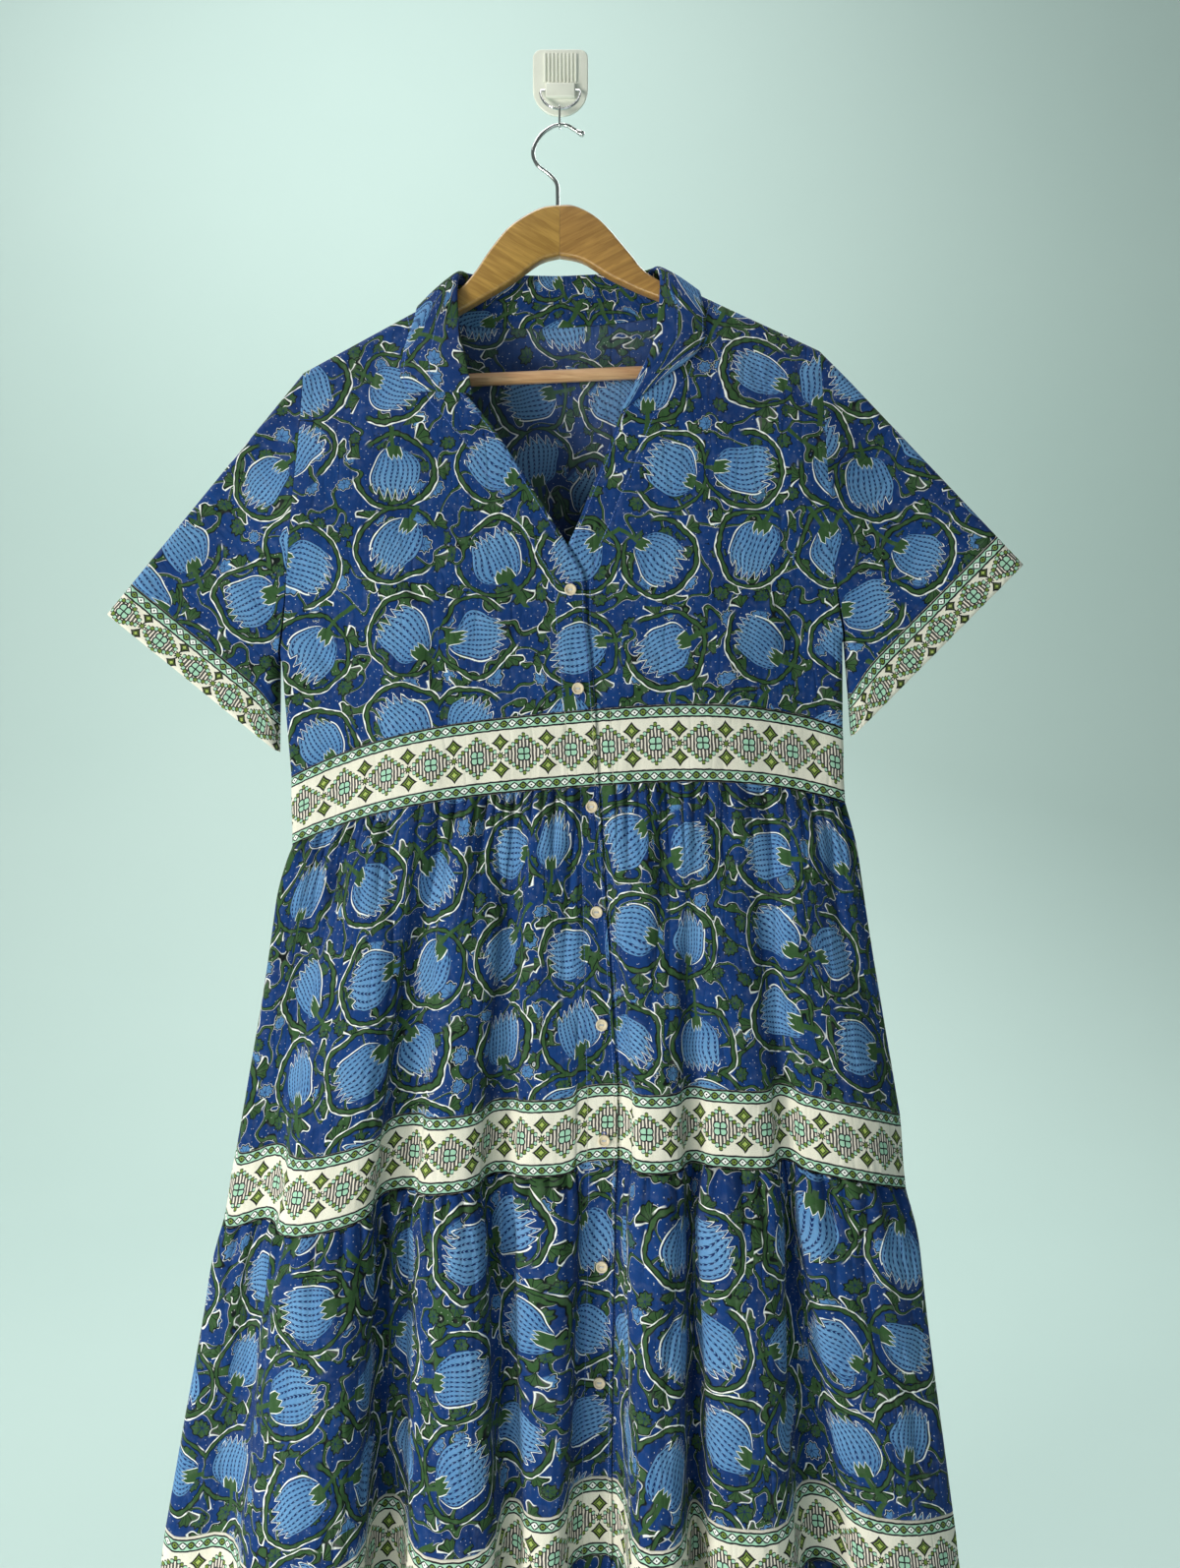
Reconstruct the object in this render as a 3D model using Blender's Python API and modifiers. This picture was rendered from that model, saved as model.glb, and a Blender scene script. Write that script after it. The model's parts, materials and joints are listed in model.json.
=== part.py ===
"""Tiered midi dress on a wooden hanger that hangs from an adhesive wall hook.

The origin is the centre of the wall plate's back face and the wall is the plane y = 0. +X runs to the right
as the dress is seen from the front, the viewer is at -Y and +Z is up. Sizes are in millimetres here and
become metres when a mesh is made. Left and right are the wearer's, so the right side is at -X.
"""

import math
from typing import NamedTuple

import bmesh
import bpy
from mathutils import Vector

MM = 0.001

# Driving dimensions
CLOTH = 1.2
COLLAR_CLOTH = 1.8
SEAM = 0.3
WAIST_GAP = 0.6
LAP = 2.0
LAP_WIDTH = 26.0
SHOULDER_ROUND = 11.0
SIDE_ROUND = 9.0
FRONT_BELLY = 32.0
BACK_BELLY = 24.0
BELLY_REACH = 130.0
NECK_PEAK = 45.0
SLEEVE_BELLY = 0.34
SLEEVE_BAND = 34.0
UNDERARM_GAP = 2.2
UNDERARM_FROM = 0.7
CUFF_SPREAD = 0.6
HANG_TOP = -45.0
HANG_Y = -14.0
HANG_LEAN = 0.11
HANG_FOOT = -285.0
BUTTON_RADIUS = 5.0
BUTTON_THICK = 2.2
BUTTON_INSET = 13.0
BUTTON_STANDOFF = 0.6
WOOD_THICK = 13.0
BAR_RADIUS = 5.5
HOOK_WIRE = 1.75
RING_WIRE = 1.2
LOOP_WIRE = 0.9
PLATE_WIDTH = 50.4
PLATE_HEIGHT = 61.2
PLATE_THICK = 3.0


class Spot(NamedTuple):
    """A place seen from the front: x to the right, z up."""

    x: float
    z: float


class Half(NamedTuple):
    """One half of the bodice with its sleeve, by its corners."""

    sign: float
    neck: Spot
    shoulder: Spot
    cuff_top: Spot
    cuff_foot: Spot
    underarm: Spot
    waist: Spot
    armhole: tuple


RIGHT = Half(
    sign=-1.0,
    neck=Spot(-108.0, -212.0),
    shoulder=Spot(-223.0, -278.5),
    cuff_top=Spot(-395.0, -491.0),
    cuff_foot=Spot(-245.0, -612.0),
    underarm=Spot(-243.0, -531.0),
    waist=Spot(-234.0, -634.0),
    armhole=(Spot(-225.0, -347.0), Spot(-228.0, -403.0), Spot(-237.5, -490.0)),
)
LEFT = Half(
    sign=1.0,
    neck=Spot(108.0, -200.0),
    shoulder=Spot(228.0, -258.6),
    cuff_top=Spot(406.0, -447.5),
    cuff_foot=Spot(256.0, -598.0),
    underarm=Spot(248.0, -515.0),
    waist=Spot(248.0, -591.0),
    armhole=(Spot(230.5, -369.0), Spot(232.5, -421.5), Spot(242.0, -479.5)),
)

# Front edges from the neck to the waist, and the back neckline, as they run when seen from the front
RIGHT_EDGE = (
    Spot(-108.0, -212.0),
    Spot(-100.0, -245.0),
    Spot(-91.0, -285.0),
    Spot(-84.0, -301.0),
    Spot(-56.7, -334.0),
    Spot(-25.6, -382.0),
    Spot(5.5, -432.7),
    Spot(22.8, -462.0),
    Spot(24.5, -499.0),
    Spot(29.5, -555.0),
    Spot(31.0, -577.0),
)
LEFT_EDGE = (
    Spot(108.0, -200.0),
    Spot(97.0, -240.0),
    Spot(86.0, -280.0),
    Spot(66.0, -308.0),
    Spot(54.0, -322.0),
    Spot(38.4, -364.0),
    Spot(26.8, -391.0),
    Spot(18.0, -414.0),
    Spot(9.0, -434.0),
    Spot(1.0, -465.0),
    Spot(1.0, -499.0),
    Spot(4.0, -555.0),
    Spot(5.0, -577.0),
)
BACK_NECK = (
    Spot(-107.8, -214.5),
    Spot(-107.0, -219.5),
    Spot(-99.0, -225.0),
    Spot(-84.0, -227.5),
    Spot(-45.0, -228.5),
    Spot(0.0, -227.5),
    Spot(45.0, -224.5),
    Spot(84.0, -219.5),
    Spot(99.0, -214.0),
    Spot(107.0, -207.5),
    Spot(107.8, -202.5),
)

# Shares of the armhole, from shoulder to underarm, that the bodice and the sleeve both use
ARM_SHARES = (0.0, 0.01, 0.035, 0.08, 0.22, 0.35, 0.5, 0.65, 0.8, 0.9, 0.96, 0.98, 1.0)
YOKE_ROWS = 4
SIDE_ROWS = 3


class Level(NamedTuple):
    """One seam round the dress: its side points, where the closure's edge is, and how its folds stand."""

    right: Spot
    left: Spot
    edge_x: float
    mid_y: float
    front_rise: float
    back_rise: float
    spread: float
    gain: float


# spread is 0 for the flat waist, 1 for the middle border's folds and 2 for the hem border's
WAIST_TOP = Level(RIGHT.waist, LEFT.waist, 31.0, -45.0, 34.0, 14.0, 0.0, 1.0)
WAIST_FOOT = Level(Spot(-233.0, -694.0), Spot(250.0, -657.0), 34.0, -46.0, 32.0, 14.0, 0.0, 1.0)
BAND2_TOP = Level(Spot(-277.0, -950.0), Spot(294.0, -924.0), 52.0, -60.0, 41.0, 20.0, 1.0, 1.0)
BAND2_FOOT = Level(Spot(-288.0, -1014.0), Spot(299.0, -988.0), 52.0, -61.0, 41.0, 20.0, 1.0, 1.06)
BAND3_TOP = Level(Spot(-333.0, -1269.0), Spot(335.0, -1256.0), 47.0, -75.0, 30.0, 14.0, 2.0, 1.0)
BAND3_FOOT = Level(Spot(-340.0, -1335.0), Spot(343.0, -1322.0), 47.0, -77.0, 30.0, 14.0, 2.0, 1.05)
HEM = Level(Spot(-362.0, -1475.0), Spot(366.0, -1462.0), 47.0, -79.0, 26.0, 12.0, 2.0, 1.1)
LEVELS = (WAIST_TOP, WAIST_FOOT, BAND2_TOP, BAND2_FOOT, BAND3_TOP, BAND3_FOOT, HEM)


class Fold(NamedTuple):
    """One fold at the middle border (2) and the hem border (3).

    start and end are its ends, depth its distance from the middle plane and dip how far its seam hangs below
    the arched seam line.
    """

    start2: float
    end2: float
    depth2: float
    dip2: float
    start3: float
    end3: float
    depth3: float
    dip3: float


FRONT_FOLDS = (
    Fold(-276.0, -238.0, 14.0, 10.0, -322.0, -274.0, 10.0, 12.0),
    Fold(-221.0, -151.0, 54.0, 25.0, -250.0, -157.0, 66.0, 26.0),
    Fold(-150.0, -118.0, 20.0, 12.0, -160.0, -131.0, 0.0, 6.0),
    Fold(-111.0, -68.0, 40.0, 14.0, -118.0, -54.0, 58.0, 27.0),
    Fold(-60.0, -38.0, 12.0, 9.0, -47.0, -32.0, 18.0, 3.0),
    Fold(-31.0, 12.0, 30.0, 8.0, -25.0, 6.0, 36.0, 9.0),
    Fold(18.0, 62.0, 24.0, -2.0, 11.0, 58.0, 0.0, -3.0),
    Fold(63.0, 99.0, 51.0, 2.0, 59.0, 101.0, 74.0, 13.0),
    Fold(107.0, 119.0, 28.0, 0.0, 109.0, 119.0, 28.0, 0.0),
    Fold(127.0, 176.0, 43.0, -1.0, 127.0, 190.0, 60.0, 4.0),
    Fold(184.0, 197.0, 24.0, -6.0, 202.0, 234.0, 6.0, -8.0),
    Fold(206.0, 256.0, 37.0, -2.0, 248.0, 297.0, 32.0, 2.0),
)
EDGE_FOLD = 6
BACK_FOLDS = (
    Fold(-266.0, -220.0, 16.0, 3.0, -312.0, -262.0, 18.0, 3.0),
    Fold(-205.0, -150.0, 43.0, 8.0, -250.0, -175.0, 60.0, 10.0),
    Fold(-138.0, -97.0, 23.0, 0.0, -163.0, -114.0, 26.0, 0.0),
    Fold(-85.0, -22.0, 45.0, 7.0, -100.0, -24.0, 62.0, 9.0),
    Fold(-8.0, 40.0, 25.0, 0.0, -8.0, 48.0, 24.0, 0.0),
    Fold(52.0, 110.0, 44.0, 7.0, 62.0, 130.0, 61.0, 10.0),
    Fold(122.0, 165.0, 23.0, 0.0, 144.0, 192.0, 22.0, 0.0),
    Fold(178.0, 232.0, 43.0, 8.0, 206.0, 270.0, 58.0, 9.0),
    Fold(244.0, 280.0, 16.0, 3.0, 284.0, 322.0, 18.0, 3.0),
)
FOLD_SIDES = ((-283.0, 52.0, 297.0), (-336.0, 47.0, 339.0))
SIDE_RUN = 8.0
RIGHT_STEPS = 34
LEFT_STEPS = 30
BACK_STEPS = 48
EDGE_BACK = 10.5


class Tier(NamedTuple):
    """A gathered tier: its seams, its gathers and how far it puffs out below the upper seam."""

    name: str
    top: Level
    foot: Level
    front_gathers: int
    back_gathers: int
    gather_depth: float
    puff: float


TIERS = (
    Tier("tier1", WAIST_FOOT, BAND2_TOP, 23, 18, 2.4, 5.0),
    Tier("tier2", BAND2_FOOT, BAND3_TOP, 23, 18, 2.6, 6.0),
    Tier("hem_tier", BAND3_FOOT, HEM, 23, 18, 2.6, 4.0),
)
TIER_ROWS = ((0.0, 0.3, 0.0), (0.13, 1.0, 1.0), (0.5, 0.5, 0.55), (1.0, 0.0, 0.0))
BUTTON_HEIGHTS = (-475.0, -559.0, -660.0, -748.0, -843.0, -940.0, -1045.0, -1146.0)


class CollarStation(NamedTuple):
    """A cut across the collar: where it is sewn on, where it rolls over and its outer edge.

    facing is -1 on the front, 1 on the back and 0 over the shoulder. depth is the roll's distance from the
    middle plane, signed over the shoulder.
    """

    seam: Spot
    roll: Spot
    edge: Spot
    facing: float
    depth: float


COLLAR_STATIONS = (
    CollarStation(Spot(-81.0, -301.0), Spot(-74.0, -307.0), Spot(-129.0, -304.0), -1.0, 33.5),
    CollarStation(Spot(-86.0, -288.0), Spot(-78.0, -287.0), Spot(-136.0, -290.0), -1.0, 30.0),
    CollarStation(Spot(-92.5, -264.0), Spot(-84.0, -262.0), Spot(-135.0, -268.0), -1.0, 24.0),
    CollarStation(Spot(-97.5, -244.0), Spot(-88.0, -234.0), Spot(-131.0, -249.0), -1.0, 17.0),
    CollarStation(Spot(-102.0, -225.0), Spot(-90.0, -205.0), Spot(-127.0, -236.0), -1.0, 11.5),
    CollarStation(Spot(-105.3, -212.5), Spot(-89.0, -191.0), Spot(-124.5, -221.5), 0.0, -8.5),
    CollarStation(Spot(-105.8, -207.0), Spot(-87.0, -185.0), Spot(-122.0, -215.5), 0.0, 0.0),
    CollarStation(Spot(-105.3, -212.5), Spot(-82.0, -183.5), Spot(-121.0, -220.5), 0.0, 8.5),
    CollarStation(Spot(-102.0, -225.5), Spot(-72.0, -183.0), Spot(-117.0, -236.0), 1.0, 11.5),
    CollarStation(Spot(-84.0, -230.0), Spot(-56.0, -182.5), Spot(-98.0, -240.0), 1.0, 14.0),
    CollarStation(Spot(-45.0, -231.0), Spot(-30.0, -182.0), Spot(-50.0, -243.0), 1.0, 16.0),
    CollarStation(Spot(0.0, -230.0), Spot(0.0, -182.0), Spot(0.0, -242.0), 1.0, 17.0),
    CollarStation(Spot(45.0, -227.0), Spot(30.0, -181.0), Spot(50.0, -238.0), 1.0, 16.0),
    CollarStation(Spot(84.0, -222.0), Spot(56.0, -180.0), Spot(98.0, -229.0), 1.0, 14.0),
    CollarStation(Spot(102.0, -214.0), Spot(72.0, -179.5), Spot(117.0, -223.0), 1.0, 11.5),
    CollarStation(Spot(105.3, -200.5), Spot(82.0, -179.0), Spot(120.0, -207.0), 0.0, 8.5),
    CollarStation(Spot(105.8, -195.5), Spot(86.0, -181.0), Spot(121.0, -202.0), 0.0, 0.0),
    CollarStation(Spot(105.3, -200.5), Spot(88.0, -187.0), Spot(123.5, -207.5), 0.0, -8.5),
    CollarStation(Spot(102.0, -213.0), Spot(89.0, -200.0), Spot(126.0, -222.0), -1.0, 11.5),
    CollarStation(Spot(96.5, -234.0), Spot(87.0, -228.0), Spot(128.0, -238.0), -1.0, 17.5),
    CollarStation(Spot(89.0, -258.0), Spot(83.0, -256.0), Spot(127.0, -252.0), -1.0, 24.5),
    CollarStation(Spot(79.0, -284.0), Spot(73.0, -283.0), Spot(121.0, -266.0), -1.0, 31.0),
    CollarStation(Spot(60.0, -311.0), Spot(55.0, -318.0), Spot(106.0, -281.0), -1.0, 33.5),
)
STAND_IN = 3.6
FALL_OUT = 3.6
ROLL_RADIUS = 2.0
COLLAR_STEPS = 44

# Hanger arms, drawn from the joint along the top to the tip and back along the underside
RIGHT_ARM = (
    Spot(-0.2, -123.5),
    Spot(-18.0, -126.5),
    Spot(-43.0, -142.0),
    Spot(-61.0, -164.0),
    Spot(-75.0, -186.0),
    Spot(-89.0, -202.5),
    Spot(-108.0, -215.5),
    Spot(-216.0, -277.5),
    Spot(-221.0, -284.5),
    Spot(-220.0, -300.0),
    Spot(-213.0, -305.5),
    Spot(-190.0, -290.0),
    Spot(-100.0, -231.0),
    Spot(-70.0, -212.0),
    Spot(-43.0, -195.0),
    Spot(-18.0, -176.0),
    Spot(-0.2, -170.5),
)
LEFT_ARM = (
    Spot(0.2, -123.5),
    Spot(14.0, -124.5),
    Spot(36.0, -137.5),
    Spot(62.0, -168.5),
    Spot(74.0, -184.0),
    Spot(90.0, -195.0),
    Spot(108.0, -203.5),
    Spot(220.0, -258.5),
    Spot(226.0, -266.0),
    Spot(226.0, -282.0),
    Spot(219.0, -288.0),
    Spot(190.0, -271.0),
    Spot(100.0, -217.0),
    Spot(70.0, -203.0),
    Spot(44.0, -190.0),
    Spot(20.0, -175.0),
    Spot(0.2, -170.5),
)
BAR_ENDS = (Spot(-212.0, -290.5), Spot(214.0, -271.0))
HOOK_ROUTE = (
    Spot(-2.0, -123.0),
    Spot(-2.0, -112.0),
    Spot(-3.0, -101.0),
    Spot(-9.5, -92.5),
    Spot(-20.5, -83.0),
    Spot(-24.4, -70.5),
    Spot(-18.6, -56.3),
    Spot(-8.8, -47.6),
    Spot(-0.5, -44.8),
    Spot(7.0, -45.8),
    Spot(14.0, -50.3),
    Spot(21.5, -54.5),
)


def blend(low: float, high: float, share: float) -> float:
    """Return the value at a share of the way from low to high."""
    return low + (high - low) * share


def ease(share: float) -> float:
    """Return a smooth step from 0 to 1."""
    share = min(1.0, max(0.0, share))
    return share * share * (3.0 - 2.0 * share)


def between(a: Spot, b: Spot, share: float) -> Spot:
    """Return the spot at a share of the way from a to b."""
    return Spot(blend(a.x, b.x, share), blend(a.z, b.z, share))


def x_at_height(route: tuple, z: float) -> float:
    """Return a falling route's x at height z."""
    for upper, lower in zip(route, route[1:]):
        if z >= lower.z:
            return blend(upper.x, lower.x, (z - upper.z) / (lower.z - upper.z))
    return route[-1].x


def smooth_route(points: list, steps: int) -> list:
    """Return steps + 1 vectors along a smooth curve through the points."""
    route = []
    spans = len(points) - 1
    for step in range(steps + 1):
        place = step * spans / steps
        span = min(int(place), spans - 1)
        t = place - span
        p0 = points[max(span - 1, 0)]
        p1 = points[span]
        p2 = points[span + 1]
        p3 = points[min(span + 2, spans)]
        route.append(
            0.5 * (2.0 * p1 + (p2 - p0) * t + (2.0 * p0 - 5.0 * p1 + 4.0 * p2 - p3) * t * t
                   + (3.0 * p1 - p0 - 3.0 * p2 + p3) * t * t * t)
        )
    return route


def lean_back(z: float) -> float:
    """Return the y of the hanger's plane, which leans out from the wall toward its foot."""
    return HANG_Y + HANG_LEAN * (z - HANG_TOP)


def middle_y(z: float) -> float:
    """Return the y of the plane between the front and the back of the bodice."""
    if z > HANG_FOOT:
        return lean_back(z)
    return blend(lean_back(HANG_FOOT), WAIST_TOP.mid_y, (z - HANG_FOOT) / (RIGHT.waist.z - HANG_FOOT))


def top_line(x: float) -> float:
    """Return the height of the shoulder seam at x, of the sleeve's top fold or of a crest across the neck."""
    half = RIGHT if x < 0.0 else LEFT
    if abs(x) < abs(half.neck.x):
        straight = blend(RIGHT.neck.z, LEFT.neck.z, (x - RIGHT.neck.x) / (LEFT.neck.x - RIGHT.neck.x))
        return straight + NECK_PEAK * (1.0 - (x / half.neck.x) ** 2)
    inner = abs(x) <= abs(half.shoulder.x)
    a, b = (half.neck, half.shoulder) if inner else (half.shoulder, half.cuff_top)
    return a.z + (b.z - a.z) * (x - a.x) / (b.x - a.x)


def distance_to_line(spot: Spot, a: Spot, b: Spot) -> float:
    """Return the distance from a spot to the straight line from a to b."""
    along = Vector((b.x - a.x, b.z - a.z))
    offset = Vector((spot.x - a.x, spot.z - a.z))
    share = min(1.0, max(0.0, offset.dot(along) / along.length_squared))
    return (offset - along * share).length


def sleeve_underarm(half: Half) -> Spot:
    """Return the top of the sleeve's underside seam, just clear of the bodice's side."""
    return Spot(half.underarm.x + half.sign * UNDERARM_GAP, half.underarm.z)


def quarter_round(distance: float, radius: float) -> float:
    """Return a quarter circle's rise, from 0 to 1, over a radius."""
    share = min(1.0, max(1e-5, distance / radius))
    return math.sqrt(1.0 - (1.0 - share) ** 2)


def half_depth(spot: Spot, facing: float) -> float:
    """Return how far the bodice or sleeve cloth stands from the middle plane."""
    half = RIGHT if spot.x < 0.0 else LEFT
    drop = top_line(spot.x) - spot.z
    if abs(spot.x) > abs(half.underarm.x):
        low = distance_to_line(spot, sleeve_underarm(half), half.cuff_foot)
    else:
        low = distance_to_line(spot, half.underarm, half.waist)
    belly = FRONT_BELLY if facing < 0.0 else BACK_BELLY
    outward = ease((abs(spot.x) - 205.0) / 110.0)
    belly *= blend(1.0, SLEEVE_BELLY, outward)
    rounding = quarter_round(drop, SHOULDER_ROUND) * quarter_round(low, SIDE_ROUND)
    swelling = ease(drop / BELLY_REACH) * ease(low / BELLY_REACH)
    return SEAM / 2.0 + SHOULDER_ROUND * rounding + max(0.0, belly - SHOULDER_ROUND) * swelling


def bodice_point(spot: Spot, facing: float) -> tuple:
    """Return the cloth's middle point and outward normal; facing is -1 for the front and 1 for the back."""
    tiny = 0.001
    depth = half_depth(spot, facing)
    slope_x = (half_depth(Spot(spot.x + tiny, spot.z), facing)
               - half_depth(Spot(spot.x - tiny, spot.z), facing)) / (2.0 * tiny)
    slope_z = (half_depth(Spot(spot.x, spot.z + tiny), facing)
               - half_depth(Spot(spot.x, spot.z - tiny), facing)) / (2.0 * tiny)
    lean = (middle_y(spot.z + 1.0) - middle_y(spot.z - 1.0)) / 2.0
    point = Vector((spot.x, middle_y(spot.z) + facing * depth, spot.z))
    normal = Vector((-slope_x, facing, -slope_z - facing * lean)).normalized()
    return point, normal


def seam_height(level: Level, x: float, rise: float) -> float:
    """Return a seam's height at x: a straight line between the sides, arched up by the rise."""
    share = (x - level.right.x) / (level.left.x - level.right.x)
    arch = 1.0 - abs(2.0 * share - 1.0) ** 3
    return blend(level.right.z, level.left.z, share) + rise * arch


def fold_x(level: Level, x: float, table: int) -> float:
    """Return where a fold table's x lies on a level, keeping the sides and the closure's edge in place."""
    right, edge, left = FOLD_SIDES[table]
    if x <= edge:
        return blend(level.right.x, level.edge_x, (x - right) / (edge - right))
    return blend(level.edge_x, level.left.x, (x - edge) / (left - edge))


def waist_x(level: Level, facing: float, corner: int) -> float:
    """Return a fold corner's x at the waist, where the cloth of all folds is taken in evenly."""
    shares = run_lengths(facing)
    if facing > 0.0:
        return blend(level.right.x, level.left.x, shares[corner])
    edge = edge_share(0.0)
    if shares[corner] <= edge:
        return blend(level.right.x, level.edge_x, shares[corner] / edge)
    return blend(level.edge_x, level.left.x, (shares[corner] - edge) / (1.0 - edge))


def fold_corners(level: Level, facing: float) -> list:
    """Return the corners of a level's front or back section, from the right side to the left, as (x, y, dip)."""
    folds = FRONT_FOLDS if facing < 0.0 else BACK_FOLDS
    side_y = level.mid_y + facing * SIDE_RUN
    corners = [Vector((level.right.x, level.mid_y, 0.0)), Vector((level.right.x + 1.5, side_y, 0.0))]
    for fold in folds:
        if level.spread < 1.5:
            ends, depth, dip, table = (fold.start2, fold.end2), fold.depth2, fold.dip2, 0
        else:
            ends, depth, dip, table = (fold.start3, fold.end3), fold.depth3, fold.dip3, 1
        for end in ends:
            x = fold_x(level, end, table)
            depth_here = depth * level.gain
            if level.spread < 0.5:
                dip = 0.0
                x = waist_x(level, facing, len(corners))
                depth_here = half_depth(Spot(x, seam_height(WAIST_TOP, x, WAIST_TOP.front_rise)), facing)
            corners.append(Vector((x, level.mid_y + facing * depth_here, dip)))
    corners.append(Vector((level.left.x - 1.5, side_y, 0.0)))
    corners.append(Vector((level.left.x, level.mid_y, 0.0)))
    return corners


def rounded(values: list) -> list:
    """Cut each corner of an open run at a quarter of its sides, keeping the two ends."""
    result = [values[0]]
    for a, b in zip(values, values[1:]):
        result.append(a * 0.75 + b * 0.25)
        result.append(a * 0.25 + b * 0.75)
    result.append(values[-1])
    return result


def run_lengths(facing: float) -> list:
    """Return the share of the way round, 0 to 1, of each corner of the front or back sections."""
    middle = fold_corners(BAND2_FOOT, facing)
    hem = fold_corners(BAND3_TOP, facing)
    total = [0.0]
    for a2, b2, a3, b3 in zip(middle, middle[1:], hem, hem[1:]):
        total.append(total[-1] + (b2 - a2).length + 0.5 * (b3 - a3).length)
    return [value / total[-1] for value in total]


class Section:
    """The smoothed front or back section of one level, read at a share of the way round."""

    def __init__(self, level: Level, facing: float) -> None:
        """Work out the smoothed run of points and their shares."""
        self.level = level
        self.facing = facing
        self.shares = rounded(run_lengths(facing))
        self.points = rounded(fold_corners(level, facing))

    def place(self, share: float) -> Vector:
        """Return the (x, y, dip) at a share."""
        share = min(1.0, max(0.0, share))
        for index in range(1, len(self.shares)):
            if share <= self.shares[index]:
                low = self.shares[index - 1]
                part = (share - low) / (self.shares[index] - low)
                return self.points[index - 1].lerp(self.points[index], part)
        return self.points[-1]

    def normal(self, share: float) -> Vector:
        """Return the outward (x, y) direction at a share."""
        if share <= 0.0:
            return Vector((-1.0, 0.0))
        if share >= 1.0:
            return Vector((1.0, 0.0))
        step = 0.004
        run = self.place(share + step) - self.place(share - step)
        return (Vector((-run.y, run.x)) * self.facing).normalized()


def edge_share(offset: float) -> float:
    """Return the front share of the closure's edge, moved by an offset in millimetres."""
    shares = run_lengths(-1.0)
    corners = fold_corners(BAND2_FOOT, -1.0)
    index = 2 + 2 * EDGE_FOLD
    per_mm = (shares[index + 1] - shares[index]) / (corners[index + 1] - corners[index]).length
    return shares[index + 1] + (offset - EDGE_BACK) * per_mm


EDGE_SHARE = edge_share(0.0)
UNDER_SHARE = edge_share(-LAP_WIDTH)
LAP_END_SHARE = edge_share(19.0)
SECTIONS = {(level, facing): Section(level, facing) for level in LEVELS for facing in (-1.0, 1.0)}


def lap_weight(share: float) -> float:
    """Return 1 where the left front lies under the right one, easing to 0 past the edge."""
    return 1.0 - ease((share - EDGE_SHARE) / (LAP_END_SHARE - EDGE_SHARE))


def gather_wave(share: float, count: int, phase: float) -> float:
    """Return the gathers' in-and-out, -1 to 1, uneven in width."""
    drift = 0.35 * math.sin(2.0 * math.pi * (2.3 * share + phase)) + 0.2 * math.sin(2.0 * math.pi * 5.1 * share)
    return math.sin(2.0 * math.pi * (count * share + drift + phase))


def gather_mask(share: float, facing: float) -> float:
    """Return 0 at the side seams and on the closure, where the cloth lies flat, and 1 elsewhere."""
    sides = ease(min(share, 1.0 - share) / 0.025)
    if facing > 0.0:
        return sides
    gap = max(edge_share(-LAP_WIDTH - 6.0) - share, share - LAP_END_SHARE)
    return sides * ease(gap / 0.02)


class Sheet:
    """A grid of cloth points with their outward normals, row by row from the top."""

    def __init__(self) -> None:
        """Start with no rows."""
        self.points = []
        self.normals = []

    def add_row(self, pairs: list) -> None:
        """Add one row of (point, normal) pairs."""
        self.points.append([pair[0] for pair in pairs])
        self.normals.append([pair[1] for pair in pairs])


def make_collection(name: str) -> bpy.types.Collection:
    """Make a collection in the scene."""
    collection = bpy.data.collections.new(name)
    bpy.context.scene.collection.children.link(collection)
    return collection


def make_material(name: str, colour: tuple, roughness: float, metallic: float) -> bpy.types.Material:
    """Make a Principled material with a linear colour."""
    material = bpy.data.materials.new(name)
    material.use_nodes = True
    shader = material.node_tree.nodes["Principled BSDF"]
    shader.inputs["Base Color"].default_value = (*colour, 1.0)
    shader.inputs["Roughness"].default_value = roughness
    shader.inputs["Metallic"].default_value = metallic
    return material


def add_object(name: str, data: bpy.types.ID, material: bpy.types.Material) -> bpy.types.Object:
    """Link an object with its own material to the dress collection."""
    piece = bpy.data.objects.new(name, data)
    piece.data.materials.append(material)
    dress.objects.link(piece)
    return piece


def add_wall(name: str, sheet: Sheet, material: bpy.types.Material, thick: float = CLOTH,
             ring: bool = False) -> bpy.types.Object:
    """Loft a cloth wall between unlike rows, moved out and in along the sheet's own normals.

    Neighbouring panels share these normals, so that their edges meet face to face across a seam, which a
    Solidify modifier, with normals from one panel alone, would not give.
    """
    mesh = bmesh.new()
    rows = len(sheet.points)
    columns = len(sheet.points[0])
    skins = []
    for side in (0.5, -0.5):
        skin = []
        for points, normals in zip(sheet.points, sheet.normals):
            skin.append([mesh.verts.new((p + n * thick * side) * MM) for p, n in zip(points, normals)])
        skins.append(skin)
    outer, inner = skins
    spans = columns if ring else columns - 1
    for i in range(rows - 1):
        for j in range(spans):
            k = (j + 1) % columns
            mesh.faces.new((outer[i][j], outer[i + 1][j], outer[i + 1][k], outer[i][k]))
            mesh.faces.new((inner[i][j], inner[i][k], inner[i + 1][k], inner[i + 1][j]))
    for j in range(spans):
        k = (j + 1) % columns
        mesh.faces.new((outer[0][j], outer[0][k], inner[0][k], inner[0][j]))
        mesh.faces.new((outer[-1][k], outer[-1][j], inner[-1][j], inner[-1][k]))
    if not ring:
        for i in range(rows - 1):
            mesh.faces.new((outer[i + 1][0], outer[i][0], inner[i][0], inner[i + 1][0]))
            mesh.faces.new((outer[i][-1], outer[i + 1][-1], inner[i + 1][-1], inner[i][-1]))
    if mesh.calc_volume(signed=True) < 0.0:
        bmesh.ops.reverse_faces(mesh, faces=mesh.faces)
    data = bpy.data.meshes.new(name)
    mesh.to_mesh(data)
    mesh.free()
    data.shade_smooth()
    data.set_sharp_from_angle(angle=math.radians(50.0))
    return add_object(name, data, material)


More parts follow.
